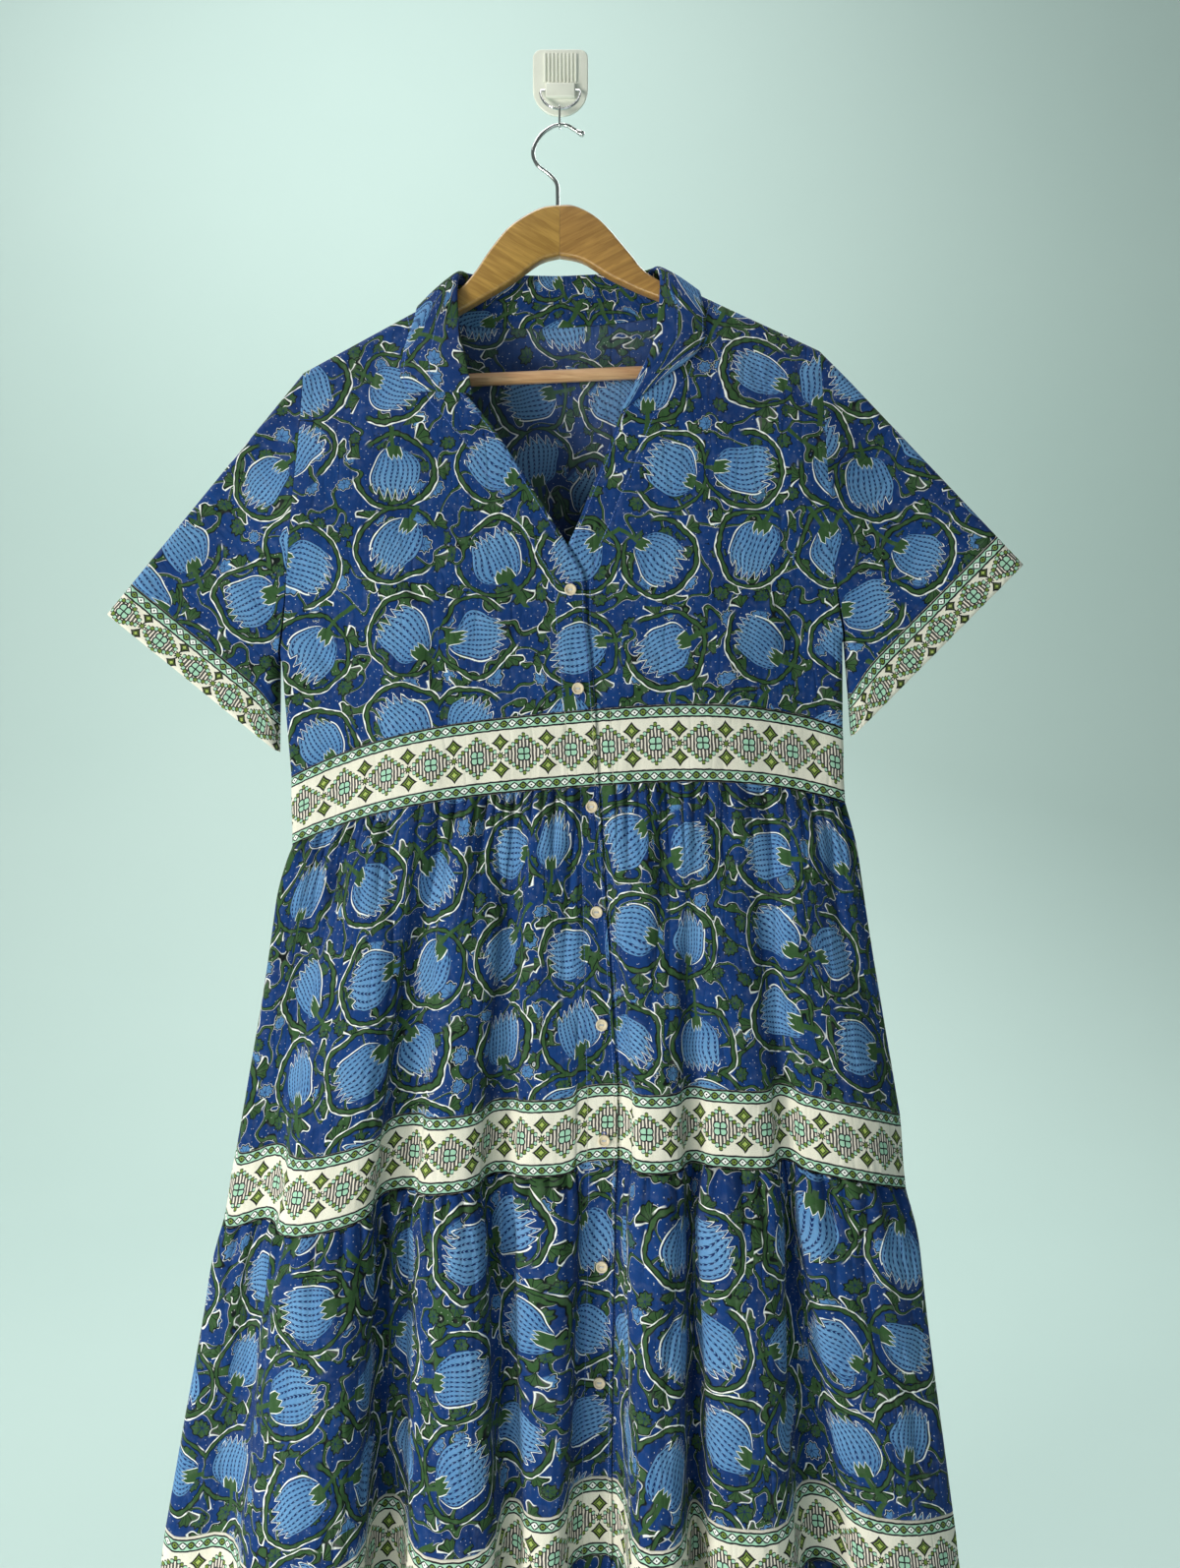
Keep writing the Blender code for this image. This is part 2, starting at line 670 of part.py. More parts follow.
def armhole_spot(half: Half, share: float) -> Spot:
    """Return the armhole's spot at a share of its height, from the shoulder down to the underarm."""
    route = (half.shoulder, *half.armhole, half.underarm)
    z = blend(half.shoulder.z, half.underarm.z, share)
    return Spot(x_at_height(route, z), z)


def side_spots(half: Half, first_share: int, inset: float) -> list:
    """Return the spots down a bodice panel's armhole and side seam, moved toward the middle by inset."""
    spots = [armhole_spot(half, share) for share in ARM_SHARES[first_share:]]
    spots += [between(half.underarm, half.waist, (step + 1) / SIDE_ROWS) for step in range(SIDE_ROWS)]
    return [Spot(spot.x - half.sign * inset, spot.z) for spot in spots]


def side_pair(half: Half, spot: Spot, facing: float) -> tuple:
    """Return the cloth's middle point and outward normal on the side seam, where front and back meet."""
    way = Vector((half.underarm.x - half.waist.x, 0.0, half.underarm.z - half.waist.z)).normalized()
    point = Vector((spot.x, middle_y(spot.z) + facing * SEAM / 2.0, spot.z))
    return point, Vector((way.z, 0.0, -way.x)) * half.sign


def lap_step(x: float) -> float:
    """Return how far the bodice's left front lies behind the shared surface at x."""
    return LAP * (1.0 - ease((x - 34.0) / 24.0))


def add_front(name: str, half: Half, edge: tuple, material: bpy.types.Material) -> None:
    """Make one front of the bodice, from the closure's edge to the armhole and side seam."""
    spots = side_spots(half, 0, SEAM / 2.0)
    columns = (0.0, 0.08, 0.18, 0.29, 0.41, 0.53, 0.64, 0.74, 0.83, 0.91, 0.965, 0.99, 1.0)
    sheet = Sheet()
    top = half.shoulder.z
    for spot in spots:
        share = (spot.z - top) / (half.waist.z - top)
        edge_z = blend(edge[0].z, edge[-1].z, share)
        start = Spot(x_at_height(edge, edge_z), edge_z)
        row = []
        for column in columns:
            place = between(start, spot, column)
            foot = between(edge[-1], half.waist, column)
            lift = seam_height(WAIST_TOP, foot.x, WAIST_TOP.front_rise) + WAIST_GAP - foot.z
            place = Spot(place.x, place.z + lift * share ** 3)
            if column == 1.0 and spot.z <= half.underarm.z:
                row.append(side_pair(half, place, -1.0))
                continue
            point, normal = bodice_point(place, -1.0)
            if half is LEFT:
                point.y += lap_step(point.x)
            row.append((point, normal))
        sheet.add_row(row)
    level_foot(sheet)
    add_wall(name, sheet, material)


def level_foot(sheet: Sheet) -> None:
    """Turn the last row's normals level, so that a panel's foot meets the strip below it squarely."""
    for normal in sheet.normals[-1]:
        normal.z = 0.0
        normal.normalize()


def yoke_seam(share: float) -> Spot:
    """Return the yoke seam's spot at a share of the way from the right armhole to the left."""
    foot = ARM_SHARES[YOKE_ROWS - 1]
    return between(armhole_spot(RIGHT, foot), armhole_spot(LEFT, foot), share)


def add_yoke(material: bpy.types.Material) -> None:
    """Make the back yoke, from the shoulder seams and neckline to the yoke seam."""
    sides = (0.0, 0.15, 0.4, 0.7, 1.0)
    top = [between(RIGHT.shoulder, RIGHT.neck, share) for share in sides]
    top += BACK_NECK
    top += [between(LEFT.shoulder, LEFT.neck, share) for share in reversed(sides)]
    inset = SEAM / 2.0
    upper = ARM_SHARES[:YOKE_ROWS - 1]
    rows = [(share, 0.0) for share in upper] + [(upper[-1], 0.5), (upper[-1], 1.0)]
    sheet = Sheet()
    for share, fall in rows:
        row = []
        for spot in top:
            half = RIGHT if spot.x < 0.0 else LEFT
            height = half.shoulder.z - half.underarm.z
            foot = yoke_seam((spot.x - RIGHT.shoulder.x) / (LEFT.shoulder.x - RIGHT.shoulder.x)).z + inset
            x = min(max(spot.x, RIGHT.shoulder.x + inset), LEFT.shoulder.x - inset)
            row.append(bodice_point(Spot(x, blend(spot.z - share * height, foot, fall)), 1.0))
        sheet.add_row(row)
    add_wall("back_yoke", sheet, material)


def add_back(material: bpy.types.Material) -> None:
    """Make the bodice back, from the yoke seam to the waist."""
    first = YOKE_ROWS - 1
    right = side_spots(RIGHT, first, SEAM / 2.0)
    left = side_spots(LEFT, first, SEAM / 2.0)
    near = (0.0, 0.006, 0.022, 0.055)
    columns = [*near, 0.12, 0.2, 0.3, 0.4, 0.5, 0.6, 0.7, 0.8, 0.88, *[1.0 - share for share in reversed(near)]]
    sheet = Sheet()
    for index, (start, end) in enumerate(zip(right, left)):
        share = index / (len(right) - 1)
        row = []
        for column in columns:
            place = between(start, end, column)
            z = place.z
            if index == 0:
                z = place.z - SEAM / 2.0
            foot = between(RIGHT.waist, LEFT.waist, column)
            lift = seam_height(WAIST_TOP, foot.x, WAIST_TOP.back_rise) + WAIST_GAP - foot.z
            place = Spot(place.x, z + lift * share ** 3)
            if column in (0.0, 1.0) and start.z <= RIGHT.underarm.z:
                row.append(side_pair(LEFT if column else RIGHT, place, 1.0))
                continue
            row.append(bodice_point(place, 1.0))
        sheet.add_row(row)
    level_foot(sheet)
    add_wall("bodice_back", sheet, material)


def sleeve_ring(half: Half, reach: float, nudge: float) -> list:
    """Return one ring round a sleeve as (point, normal) pairs.

    A reach from 0 to 1 is a share of the way from the armhole to the band's seam, and from 1 to 2 a share of
    the band. nudge moves the ring along the sleeve.
    """
    rings = []
    for facing in (-1.0, 1.0):
        run = []
        for share in ARM_SHARES:
            start = armhole_spot(half, share)
            cuff = between(half.cuff_top, half.cuff_foot, 1.0 - (1.0 - share) ** CUFF_SPREAD)
            apart = max(0.0, (share - UNDERARM_FROM) / (1.0 - UNDERARM_FROM))
            start = Spot(start.x + half.sign * UNDERARM_GAP * apart, start.z)
            way = Vector((cuff.x - start.x, cuff.z - start.z))
            band_share = 1.0 - SLEEVE_BAND / way.length
            along = blend(0.0, band_share, reach) if reach <= 1.0 else blend(band_share, 1.0, reach - 1.0)
            along += nudge * (1.0 + share ** 8) / way.length
            run.append(bodice_point(between(start, cuff, along), facing))
        rings.append(run)
    front, back = rings
    folds = ((0, half.shoulder, half.cuff_top), (-1, half.cuff_foot, sleeve_underarm(half)))
    for end, start, stop in folds:
        point = (front[end][0] + back[end][0]) * 0.5
        normal = Vector((start.z - stop.z, 0.0, stop.x - start.x)).normalized() * half.sign
        front[end] = (point, normal)
    return front + back[-2:0:-1]


def add_sleeve(side: str, half: Half, cloth: bpy.types.Material, border: bpy.types.Material) -> None:
    """Make a sleeve and the border strip at its cuff, as two open tubes."""
    sheet = Sheet()
    for reach in (0.0, 0.18, 0.4, 0.7, 1.0):
        nudge = SEAM / 2.0 if reach == 0.0 else 0.0
        if reach == 1.0:
            nudge = -SEAM
        sheet.add_row(sleeve_ring(half, reach, nudge))
    add_wall("sleeve_" + side, sheet, cloth, ring=True)
    sheet = Sheet()
    sheet.add_row(sleeve_ring(half, 1.0, SEAM))
    sheet.add_row(sleeve_ring(half, 2.0, 0.0))
    add_wall("sleeve_band_" + side, sheet, border, ring=True)


def collar_points(station: CollarStation) -> tuple:
    """Return the seam, roll and outer edge of a collar station."""
    spots = (station.seam, station.roll, station.edge)
    if station.facing == 0.0:
        depths = (station.depth * 0.9, station.depth * 0.8, station.depth * 1.15)
    else:
        depths = (
            station.facing * (half_depth(station.seam, station.facing) - STAND_IN),
            station.facing * station.depth,
            station.facing * (half_depth(station.edge, station.facing) + FALL_OUT),
        )
    return tuple(Vector((spot.x, middle_y(spot.z) + depth, spot.z)) for spot, depth in zip(spots, depths))


def add_collar(material: bpy.types.Material) -> None:
    """Make the collar: a stand that rises inside the neck and a fall that turns over and lies on the panels."""
    stations = [collar_points(station) for station in COLLAR_STATIONS]
    seams, rolls, edges = (smooth_route(list(line), COLLAR_STEPS) for line in zip(*stations))
    facings = smooth_route([Vector((station.facing, 0.0, 0.0)) for station in COLLAR_STATIONS], COLLAR_STEPS)
    columns = []
    for index, (seam, roll, edge, facing) in enumerate(zip(seams, rolls, edges, facings)):
        tangent = (rolls[min(index + 1, COLLAR_STEPS)] - rolls[max(index - 1, 0)]).normalized()
        turn = (roll - seam).normalized() - (edge - roll).normalized()
        crest = (turn - tangent * turn.dot(tangent)).normalized()
        apart = crest.cross(tangent) * ROLL_RADIUS
        foot = roll - crest * ROLL_RADIUS
        fall = roll.lerp(edge, 0.5) + apart
        if abs(facing.x) > 0.9:
            side = math.copysign(1.0, facing.x)
            offset = (fall.y - middle_y(fall.z)) * side
            depth = max(offset, half_depth(Spot(fall.x, fall.z), side) + FALL_OUT)
            fall.y = middle_y(fall.z) + side * depth
        columns.append([seam, seam.lerp(foot - apart, 0.55), foot - apart, roll, foot + apart, fall, edge])
    sheet = Sheet()
    for row in range(len(columns[0])):
        pairs = []
        for column in range(len(columns)):
            ahead = columns[min(column + 1, len(columns) - 1)][row]
            behind = columns[max(column - 1, 0)][row]
            below = columns[column][min(row + 1, len(columns[0]) - 1)]
            above = columns[column][max(row - 1, 0)]
            normal = (ahead - behind).cross((below - above)).normalized()
            pairs.append((columns[column][row], normal))
        sheet.add_row(pairs)
    add_wall("collar", sheet, material, COLLAR_CLOTH)


def skirt_pair(top: Level, foot: Level, share: float, drop: float, facing: float, swing: float, lap: float,
               nudge: float) -> tuple:
    """Return a skirt cloth point and normal.

    share runs round the front or back, drop from the upper seam to the lower, swing moves the point out and
    lap moves it in under the other front. nudge moves it up.
    """
    upper = SECTIONS[(top, facing)]
    lower = SECTIONS[(foot, facing)]
    a = upper.place(share)
    b = lower.place(share)
    rise = (top.front_rise, foot.front_rise) if facing < 0.0 else (top.back_rise, foot.back_rise)
    height = blend(seam_height(top, a.x, rise[0]) - a.z, seam_height(foot, b.x, rise[1]) - b.z, drop)
    normal = upper.normal(share).lerp(lower.normal(share), drop).normalized()
    place = Vector((a.x, a.y)).lerp(Vector((b.x, b.y)), drop) + normal * (swing - lap)
    if share <= 0.0 or share >= 1.0:
        place.y += facing * SEAM / 2.0
    return Vector((place.x, place.y, height + nudge)), Vector((normal.x, normal.y, 0.0))


def even_shares(start: float, end: float, steps: int) -> list:
    """Return steps + 1 even shares from start to end."""
    return [blend(start, end, step / steps) for step in range(steps + 1)]


class Run(NamedTuple):
    """One panel's way round the skirt, by the shares of its columns."""

    name: str
    facing: float
    shares: list
    under: bool


SIDE_SHARE = 0.006
LAP_SHARES = even_shares(UNDER_SHARE, EDGE_SHARE, 4)
RUNS = (
    Run("front_right", -1.0, [0.0, *even_shares(SIDE_SHARE, UNDER_SHARE, RIGHT_STEPS), *LAP_SHARES[1:]], False),
    Run("front_left", -1.0, [*LAP_SHARES[:-1], *even_shares(EDGE_SHARE, 1.0 - SIDE_SHARE, LEFT_STEPS), 1.0], True),
    Run("back", 1.0, [0.0, *even_shares(SIDE_SHARE, 1.0 - SIDE_SHARE, BACK_STEPS), 1.0], False),
)


def add_band(name: str, top: Level, foot: Level, run: Run, material: bpy.types.Material) -> None:
    """Make one panel of a border strip."""
    sheet = Sheet()
    for drop, nudge in ((0.0, -SEAM / 2.0), (1.0, SEAM / 2.0)):
        row = []
        for share in run.shares:
            lap = LAP * lap_weight(share) if run.under else 0.0
            row.append(skirt_pair(top, foot, share, drop, run.facing, 0.0, lap, nudge))
        sheet.add_row(row)
    add_wall(name + "_" + run.name, sheet, material)


def add_tier(tier: Tier, run: Run, material: bpy.types.Material) -> None:
    """Make one panel of a gathered tier: puffed out below the seam, its gathers fading downward."""
    sheet = Sheet()
    count = tier.front_gathers if run.facing < 0.0 else tier.back_gathers
    for drop, gather, puff in TIER_ROWS:
        nudge = 0.0
        if drop == 0.0:
            nudge = -SEAM / 2.0
        if drop == 1.0 and tier.foot is not HEM:
            nudge = SEAM / 2.0
        row = []
        for share in run.shares:
            lap = LAP * lap_weight(share) if run.under else 0.0
            mask = gather_mask(share, run.facing)
            face_on = abs(SECTIONS[(tier.top, run.facing)].normal(share).y)
            wave = gather_wave(share, count, 0.13 * drop) * tier.gather_depth * gather * mask * face_on
            swing = wave + tier.puff * puff * face_on
            row.append(skirt_pair(tier.top, tier.foot, share, drop, run.facing, swing, lap, nudge))
        sheet.add_row(row)
    add_wall(tier.name + "_" + run.name, sheet, material)


def closure_point(z: float) -> tuple:
    """Return the cloth's middle point and horizontal normal on the button line at a height."""
    if z > WAIST_TOP.right.z + 50.0:
        x = x_at_height(RIGHT_EDGE, z) - BUTTON_INSET
        return bodice_point(Spot(x, z), -1.0)
    share = edge_share(-BUTTON_INSET)
    for top, foot in zip(LEVELS, LEVELS[1:]):
        high = skirt_pair(top, foot, share, 0.0, -1.0, 0.0, 0.0, 0.0)[0].z
        low = skirt_pair(top, foot, share, 1.0, -1.0, 0.0, 0.0, 0.0)[0].z
        if z >= low:
            drop = (high - z) / (high - low)
            swing = 0.0
            for tier in TIERS:
                if tier.top is top:
                    swing = tier_puff(tier, drop)
            return skirt_pair(top, foot, share, drop, -1.0, swing, 0.0, 0.0)
    raise ValueError("no level at this height")


def tier_puff(tier: Tier, drop: float) -> float:
    """Return how far a tier stands out from the straight line between its seams at a drop."""
    for (low, _, puff_low), (high, _, puff_high) in zip(TIER_ROWS, TIER_ROWS[1:]):
        if drop <= high:
            share = (drop - low) / (high - low)
            return tier.puff * blend(puff_low, puff_high, share)
    return 0.0


def add_buttons(material: bpy.types.Material) -> None:
    """Turn one dished button with a Screw modifier and set a copy on the closure at each height."""
    data = bpy.data.meshes.new("button")
    profile = ((0.0, 1.3), (2.9, 1.3), (3.6, 2.2), (4.5, 2.2), (5.0, 1.5), (4.6, 0.0), (0.0, 0.0))
    vertices = [(x * BUTTON_RADIUS / 5.0 * MM, 0.0, z * BUTTON_THICK / 2.2 * MM) for x, z in profile]
    data.from_pydata(vertices, [(i, i + 1) for i in range(len(vertices) - 1)], [])
    for number, height in enumerate(BUTTON_HEIGHTS, start=1):
        piece = add_object(f"button_{number}", data, material) if number == 1 else None
        if piece is None:
            piece = bpy.data.objects.new(f"button_{number}", data)
            dress.objects.link(piece)
        screw = piece.modifiers.new("Screw", "SCREW")
        screw.axis = "Z"
        screw.steps = 14
        screw.render_steps = 14
        screw.use_merge_vertices = True
        screw.merge_threshold = 0.00001
        screw.use_smooth_shade = True
        point, level_normal = closure_point(height)
        down = closure_point(height - 2.0)[0] - closure_point(height + 2.0)[0]
        normal = (level_normal - down * (level_normal.dot(down) / down.length_squared)).normalized()
        piece.location = (point + normal * (CLOTH / 2.0 + BUTTON_STANDOFF)) * MM
        piece.rotation_euler = normal.to_track_quat("Z", "X").to_euler()


def add_arm(name: str, outline: tuple, material: bpy.types.Material, cutter: bpy.types.Object) -> None:
    """Make one hanger arm: a flat outline with rounded edges, leaned with the hanger and drilled for the bar."""
    mesh = bmesh.new()
    face = mesh.faces.new([mesh.verts.new((spot.x * MM, WOOD_THICK / 2.0 * MM, spot.z * MM)) for spot in outline])
    extruded = bmesh.ops.extrude_face_region(mesh, geom=[face])
    moved = [item for item in extruded["geom"] if isinstance(item, bmesh.types.BMVert)]
    bmesh.ops.translate(mesh, verts=moved, vec=(0.0, -WOOD_THICK * MM, 0.0))
    bmesh.ops.recalc_face_normals(mesh, faces=mesh.faces)
    rims = [edge for edge in mesh.edges if abs(edge.verts[0].co.y - edge.verts[1].co.y) < 1e-6]
    bmesh.ops.bevel(mesh, geom=rims, offset=3.0 * MM, segments=2, profile=0.5, affect="EDGES")
    for vert in mesh.verts:
        vert.co.y += lean_back(vert.co.z / MM) * MM
    data = bpy.data.meshes.new(name)
    mesh.to_mesh(data)
    mesh.free()
    data.shade_smooth()
    data.set_sharp_from_angle(angle=math.radians(40.0))
    arm = add_object(name, data, material)
    drill = arm.modifiers.new("Bar socket", "BOOLEAN")
    drill.operation = "DIFFERENCE"
    drill.object = cutter


def add_tube(name: str, points: list, radius: float, resolution: int, material: bpy.types.Material,
             swell: tuple = ()) -> bpy.types.Object:
    """Make a round wire or rail along points, with filled ends; swell widens its last points."""
    curve = bpy.data.curves.new(name, "CURVE")
    curve.dimensions = "3D"
    curve.bevel_depth = radius * MM
    curve.bevel_resolution = resolution
    curve.use_fill_caps = True
    spline = curve.splines.new("POLY")
    spline.points.add(len(points) - 1)
    for index, (target, point) in enumerate(zip(spline.points, points)):
        target.co = (*(point * MM), 1.0)
        back = index - len(points) + len(swell)
        if back >= 0:
            target.radius = swell[back]
    return add_object(name, curve, material)


def add_loop(name: str, points: list, radius: float, resolution: int, material: bpy.types.Material) -> None:
    """Make a closed wire loop through points."""
    piece = add_tube(name, points, radius, resolution, material)
    piece.data.splines[0].use_cyclic_u = True


def hanger_vector(spot: Spot) -> Vector:
    """Return a spot of the hanger's plane in space."""
    return Vector((spot.x, lean_back(spot.z), spot.z))


def add_hanger(wood: bpy.types.Material, steel: bpy.types.Material) -> None:
    """Make the two arms, the trouser bar in its sockets and the hook."""
    ends = [hanger_vector(spot) for spot in BAR_ENDS]
    middle = (ends[0] + ends[1]) * 0.5
    run = ends[1] - ends[0]
    cutter_mesh = bmesh.new()
    bmesh.ops.create_cone(cutter_mesh, cap_ends=True, segments=24, radius1=(BAR_RADIUS + 0.3) * MM,
                          radius2=(BAR_RADIUS + 0.3) * MM, depth=(run.length + 0.8) * MM)
    data = bpy.data.meshes.new("bar_socket")
    cutter_mesh.to_mesh(data)
    cutter_mesh.free()
    cutter = bpy.data.objects.new("bar_socket", data)
    cutter.location = middle * MM
    cutter.rotation_euler = run.to_track_quat("Z", "Y").to_euler()
    cutter.hide_render = True
    cutter.display_type = "WIRE"
    cutters.objects.link(cutter)
    add_arm("hanger_arm_right", RIGHT_ARM, wood, cutter)
    add_arm("hanger_arm_left", LEFT_ARM, wood, cutter)
    add_tube("hanger_bar", ends, BAR_RADIUS, 3, wood)
    route = smooth_route([hanger_vector(spot) for spot in HOOK_ROUTE], 36)
    add_tube("hanger_hook", route, HOOK_WIRE, 2, steel, (1.0, 1.35, 1.7, 1.5))


def plate_outline() -> list:
    """Return the wall plate's outline: rounded corners at the top and a half circle at the foot."""
    half = PLATE_WIDTH / 2.0
    top = PLATE_HEIGHT / 2.0
    corner = 8.0
    outline = []
    for centre_x, centre_z, radius, first, last, steps in (
            (half - corner, top - corner, corner, 0.0, 90.0, 4),
            (corner - half, top - corner, corner, 90.0, 180.0, 4),
            (0.0, half - top, half, 180.0, 360.0, 16)):
        for step in range(steps + 1):
            angle = math.radians(blend(first, last, step / steps))
            outline.append(Spot(centre_x + radius * math.cos(angle), centre_z + radius * math.sin(angle)))
    return outline


def add_block(mesh: bmesh.types.BMesh, centre: tuple, size: tuple) -> None:
    """Add a box, in millimetres, to a mesh."""
    made = bmesh.ops.create_cube(mesh, size=1.0)
    bmesh.ops.scale(mesh, vec=Vector(size) * MM, verts=made["verts"])
    bmesh.ops.translate(mesh, vec=Vector(centre) * MM, verts=made["verts"])


def add_wall_hook(plastic: bpy.types.Material, steel: bpy.types.Material) -> None:
    """Make the adhesive plate with its ribs and boss, the half ring and the wire loop that holds the hanger."""
    mesh = bmesh.new()
    face = mesh.faces.new([mesh.verts.new((spot.x * MM, 0.0, spot.z * MM)) for spot in plate_outline()])
    extruded = bmesh.ops.extrude_face_region(mesh, geom=[face])
    moved = [item for item in extruded["geom"] if isinstance(item, bmesh.types.BMVert)]
    bmesh.ops.translate(mesh, verts=moved, vec=(0.0, -PLATE_THICK * MM, 0.0))
    bmesh.ops.recalc_face_normals(mesh, faces=mesh.faces)
    data = bpy.data.meshes.new("wall_plate")
    mesh.to_mesh(data)
    mesh.free()
    plate = add_object("wall_plate", data, plastic)
    extras = bmesh.new()
    add_block(extras, (0.0, -PLATE_THICK - 2.0, -9.0), (27.0, 6.0, 13.0))
    for rib in range(9):
        add_block(extras, (-14.0 + 3.5 * rib, -PLATE_THICK + 0.1, 13.0), (1.3, 1.8, 26.0))
    extra_data = bpy.data.meshes.new("plate_relief")
    extras.to_mesh(extra_data)
    extras.free()
    relief = bpy.data.objects.new("plate_relief", extra_data)
    relief.hide_render = True
    relief.display_type = "WIRE"
    cutters.objects.link(relief)
    union = plate.modifiers.new("Relief", "BOOLEAN")
    union.operation = "UNION"
    union.object = relief
    ring = [Vector((-13.9, -6.0, -9.0)), Vector((-17.6, -6.2, -9.4))]
    for step in range(17):
        angle = math.radians(180.0 + 180.0 * (step + 0.5) / 17.0)
        z = -10.0 + 20.4 * math.sin(angle)
        ring.append(Vector((18.2 * math.cos(angle), blend(-6.4, HANG_Y, (z + 10.0) / -20.4), z)))
    ring += [Vector((17.6, -6.2, -9.4)), Vector((13.9, -6.0, -9.0))]
    add_tube("wall_ring", ring, RING_WIRE, 2, steel)
    top = -30.4 + RING_WIRE + LOOP_WIRE + 0.3
    foot = -44.8 - HOOK_WIRE - LOOP_WIRE - 0.3
    side = HOOK_WIRE + LOOP_WIRE + 0.35
    loop = []
    for end, sign in ((top - side, 1.0), (foot + side, -1.0)):
        for step in range(9):
            angle = math.radians(180.0 * step / 8.0)
            loop.append(Vector((-0.5, HANG_Y + sign * side * math.cos(angle), end + sign * side * math.sin(angle))))
    add_loop("wall_loop", loop, LOOP_WIRE, 2, steel)


def add_dress() -> None:
    """Make every sewn piece of the dress."""
    print_cloth = make_material("floral_cotton", (0.018, 0.052, 0.28), 0.85, 0.0)
    border_cloth = make_material("border_cotton", (0.6, 0.56, 0.44), 0.85, 0.0)
    shell = make_material("button_resin", (0.78, 0.7, 0.55), 0.35, 0.0)
    add_front("bodice_front_right", RIGHT, RIGHT_EDGE, print_cloth)
    add_front("bodice_front_left", LEFT, LEFT_EDGE, print_cloth)
    add_yoke(print_cloth)
    add_back(print_cloth)
    add_collar(print_cloth)
    add_sleeve("right", RIGHT, print_cloth, border_cloth)
    add_sleeve("left", LEFT, print_cloth, border_cloth)
    for run in RUNS:
        add_band("waist_band", WAIST_TOP, WAIST_FOOT, run, border_cloth)
        add_band("band2", BAND2_TOP, BAND2_FOOT, run, border_cloth)
        add_band("band3", BAND3_TOP, BAND3_FOOT, run, border_cloth)
        for tier in TIERS:
            add_tier(tier, run, print_cloth)
    add_buttons(shell)


for old in list(bpy.data.objects):
    bpy.data.objects.remove(old, do_unlink=True)
dress = make_collection("tiered_midi_dress")
cutters = make_collection("cutters")
add_dress()
varnished_wood = make_material("varnished_wood", (0.42, 0.16, 0.035), 0.3, 0.0)
bright_steel = make_material("bright_steel", (0.62, 0.6, 0.56), 0.2, 1.0)
white_plastic = make_material("white_plastic", (0.8, 0.8, 0.76), 0.4, 0.0)
add_hanger(varnished_wood, bright_steel)
add_wall_hook(white_plastic, bright_steel)
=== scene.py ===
"""Looks of the tiered midi dress on its wooden hanger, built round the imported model.

Sizes and places are millimetres on the frame's axes until a mesh is made, when they become metres. Right and
left are the wearer's, so the right front is at -X. The front faces -Y.
"""

import json
import logging
import math
from dataclasses import dataclass
from enum import Enum
from typing import NamedTuple, Sequence

import bpy
import numpy as np
from mathutils import Matrix, Vector

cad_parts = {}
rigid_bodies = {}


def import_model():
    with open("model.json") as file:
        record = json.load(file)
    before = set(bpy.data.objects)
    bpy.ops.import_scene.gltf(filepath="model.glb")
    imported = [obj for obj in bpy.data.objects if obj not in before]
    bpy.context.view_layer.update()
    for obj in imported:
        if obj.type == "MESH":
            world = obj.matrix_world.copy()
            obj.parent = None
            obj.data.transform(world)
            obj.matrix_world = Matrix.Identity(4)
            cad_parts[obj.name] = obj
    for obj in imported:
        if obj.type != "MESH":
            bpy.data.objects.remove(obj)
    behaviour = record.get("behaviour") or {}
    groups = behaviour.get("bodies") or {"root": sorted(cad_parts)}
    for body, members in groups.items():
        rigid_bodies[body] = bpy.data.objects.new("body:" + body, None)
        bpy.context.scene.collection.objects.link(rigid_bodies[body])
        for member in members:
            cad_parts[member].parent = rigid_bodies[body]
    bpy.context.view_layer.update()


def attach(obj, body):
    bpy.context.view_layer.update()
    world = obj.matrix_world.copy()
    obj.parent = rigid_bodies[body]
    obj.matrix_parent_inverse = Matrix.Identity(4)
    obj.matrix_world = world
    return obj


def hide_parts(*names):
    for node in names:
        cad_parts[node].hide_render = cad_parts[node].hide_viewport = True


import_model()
LOG = logging.getLogger("dress")
MM = 0.001
FRONT = -1.0
BACK = 1.0
BODY = "root"
CLOTH_WALL = 0.9
COLLAR_WALL = 1.3
SEAM = 0.3
UV_NAME = "cloth"
TRIM_NAME = "trim"
FAR_FROM_TRIM = 500.0
# The area that a sheet may have, as shares of its flat size
LEAST_AREA = 0.31
MOST_AREA = 0.999
# Where the pieces lie on the printed cloth, so that no two show the same flowers
YOKE_MAP = 700.0
BACK_MAP = 1500.0
SLEEVE_MAP = 2100.0
UNDER_SLEEVE_MAP = 2600.0
COLLAR_MAP = 3300.0


def blend(low: float, high: float, share: np.ndarray) -> np.ndarray:
    """Return the value at a share of the way from low to high."""
    return low + (high - low) * share


def tucked(turns: np.ndarray) -> np.ndarray:
    """Return a swing of -1 to 1 for each turn, round outside and sharp in its hollow."""
    return 2.0 * np.abs(np.sin(np.pi * turns)) ** 0.75 - 1.0


def ease(share: np.ndarray) -> np.ndarray:
    """Return a smooth step from 0 to 1."""
    share = np.clip(share, 0.0, 1.0)
    return share * share * (3.0 - 2.0 * share)


def linear_colour(code: str) -> tuple[float, float, float, float]:
    """Turn an sRGB hex code into a linear colour.

    Args:
        code: Six hexadecimal digits after a hash sign.

    Returns:
        The linear red, green and blue with an alpha of 1.
    """
    parts = [int(code[i:i + 2], 16) / 255.0 for i in (1, 3, 5)]
    linear = [p / 12.92 if p <= 0.04045 else ((p + 0.055) / 1.055) ** 2.4 for p in parts]
    return (*linear, 1.0)


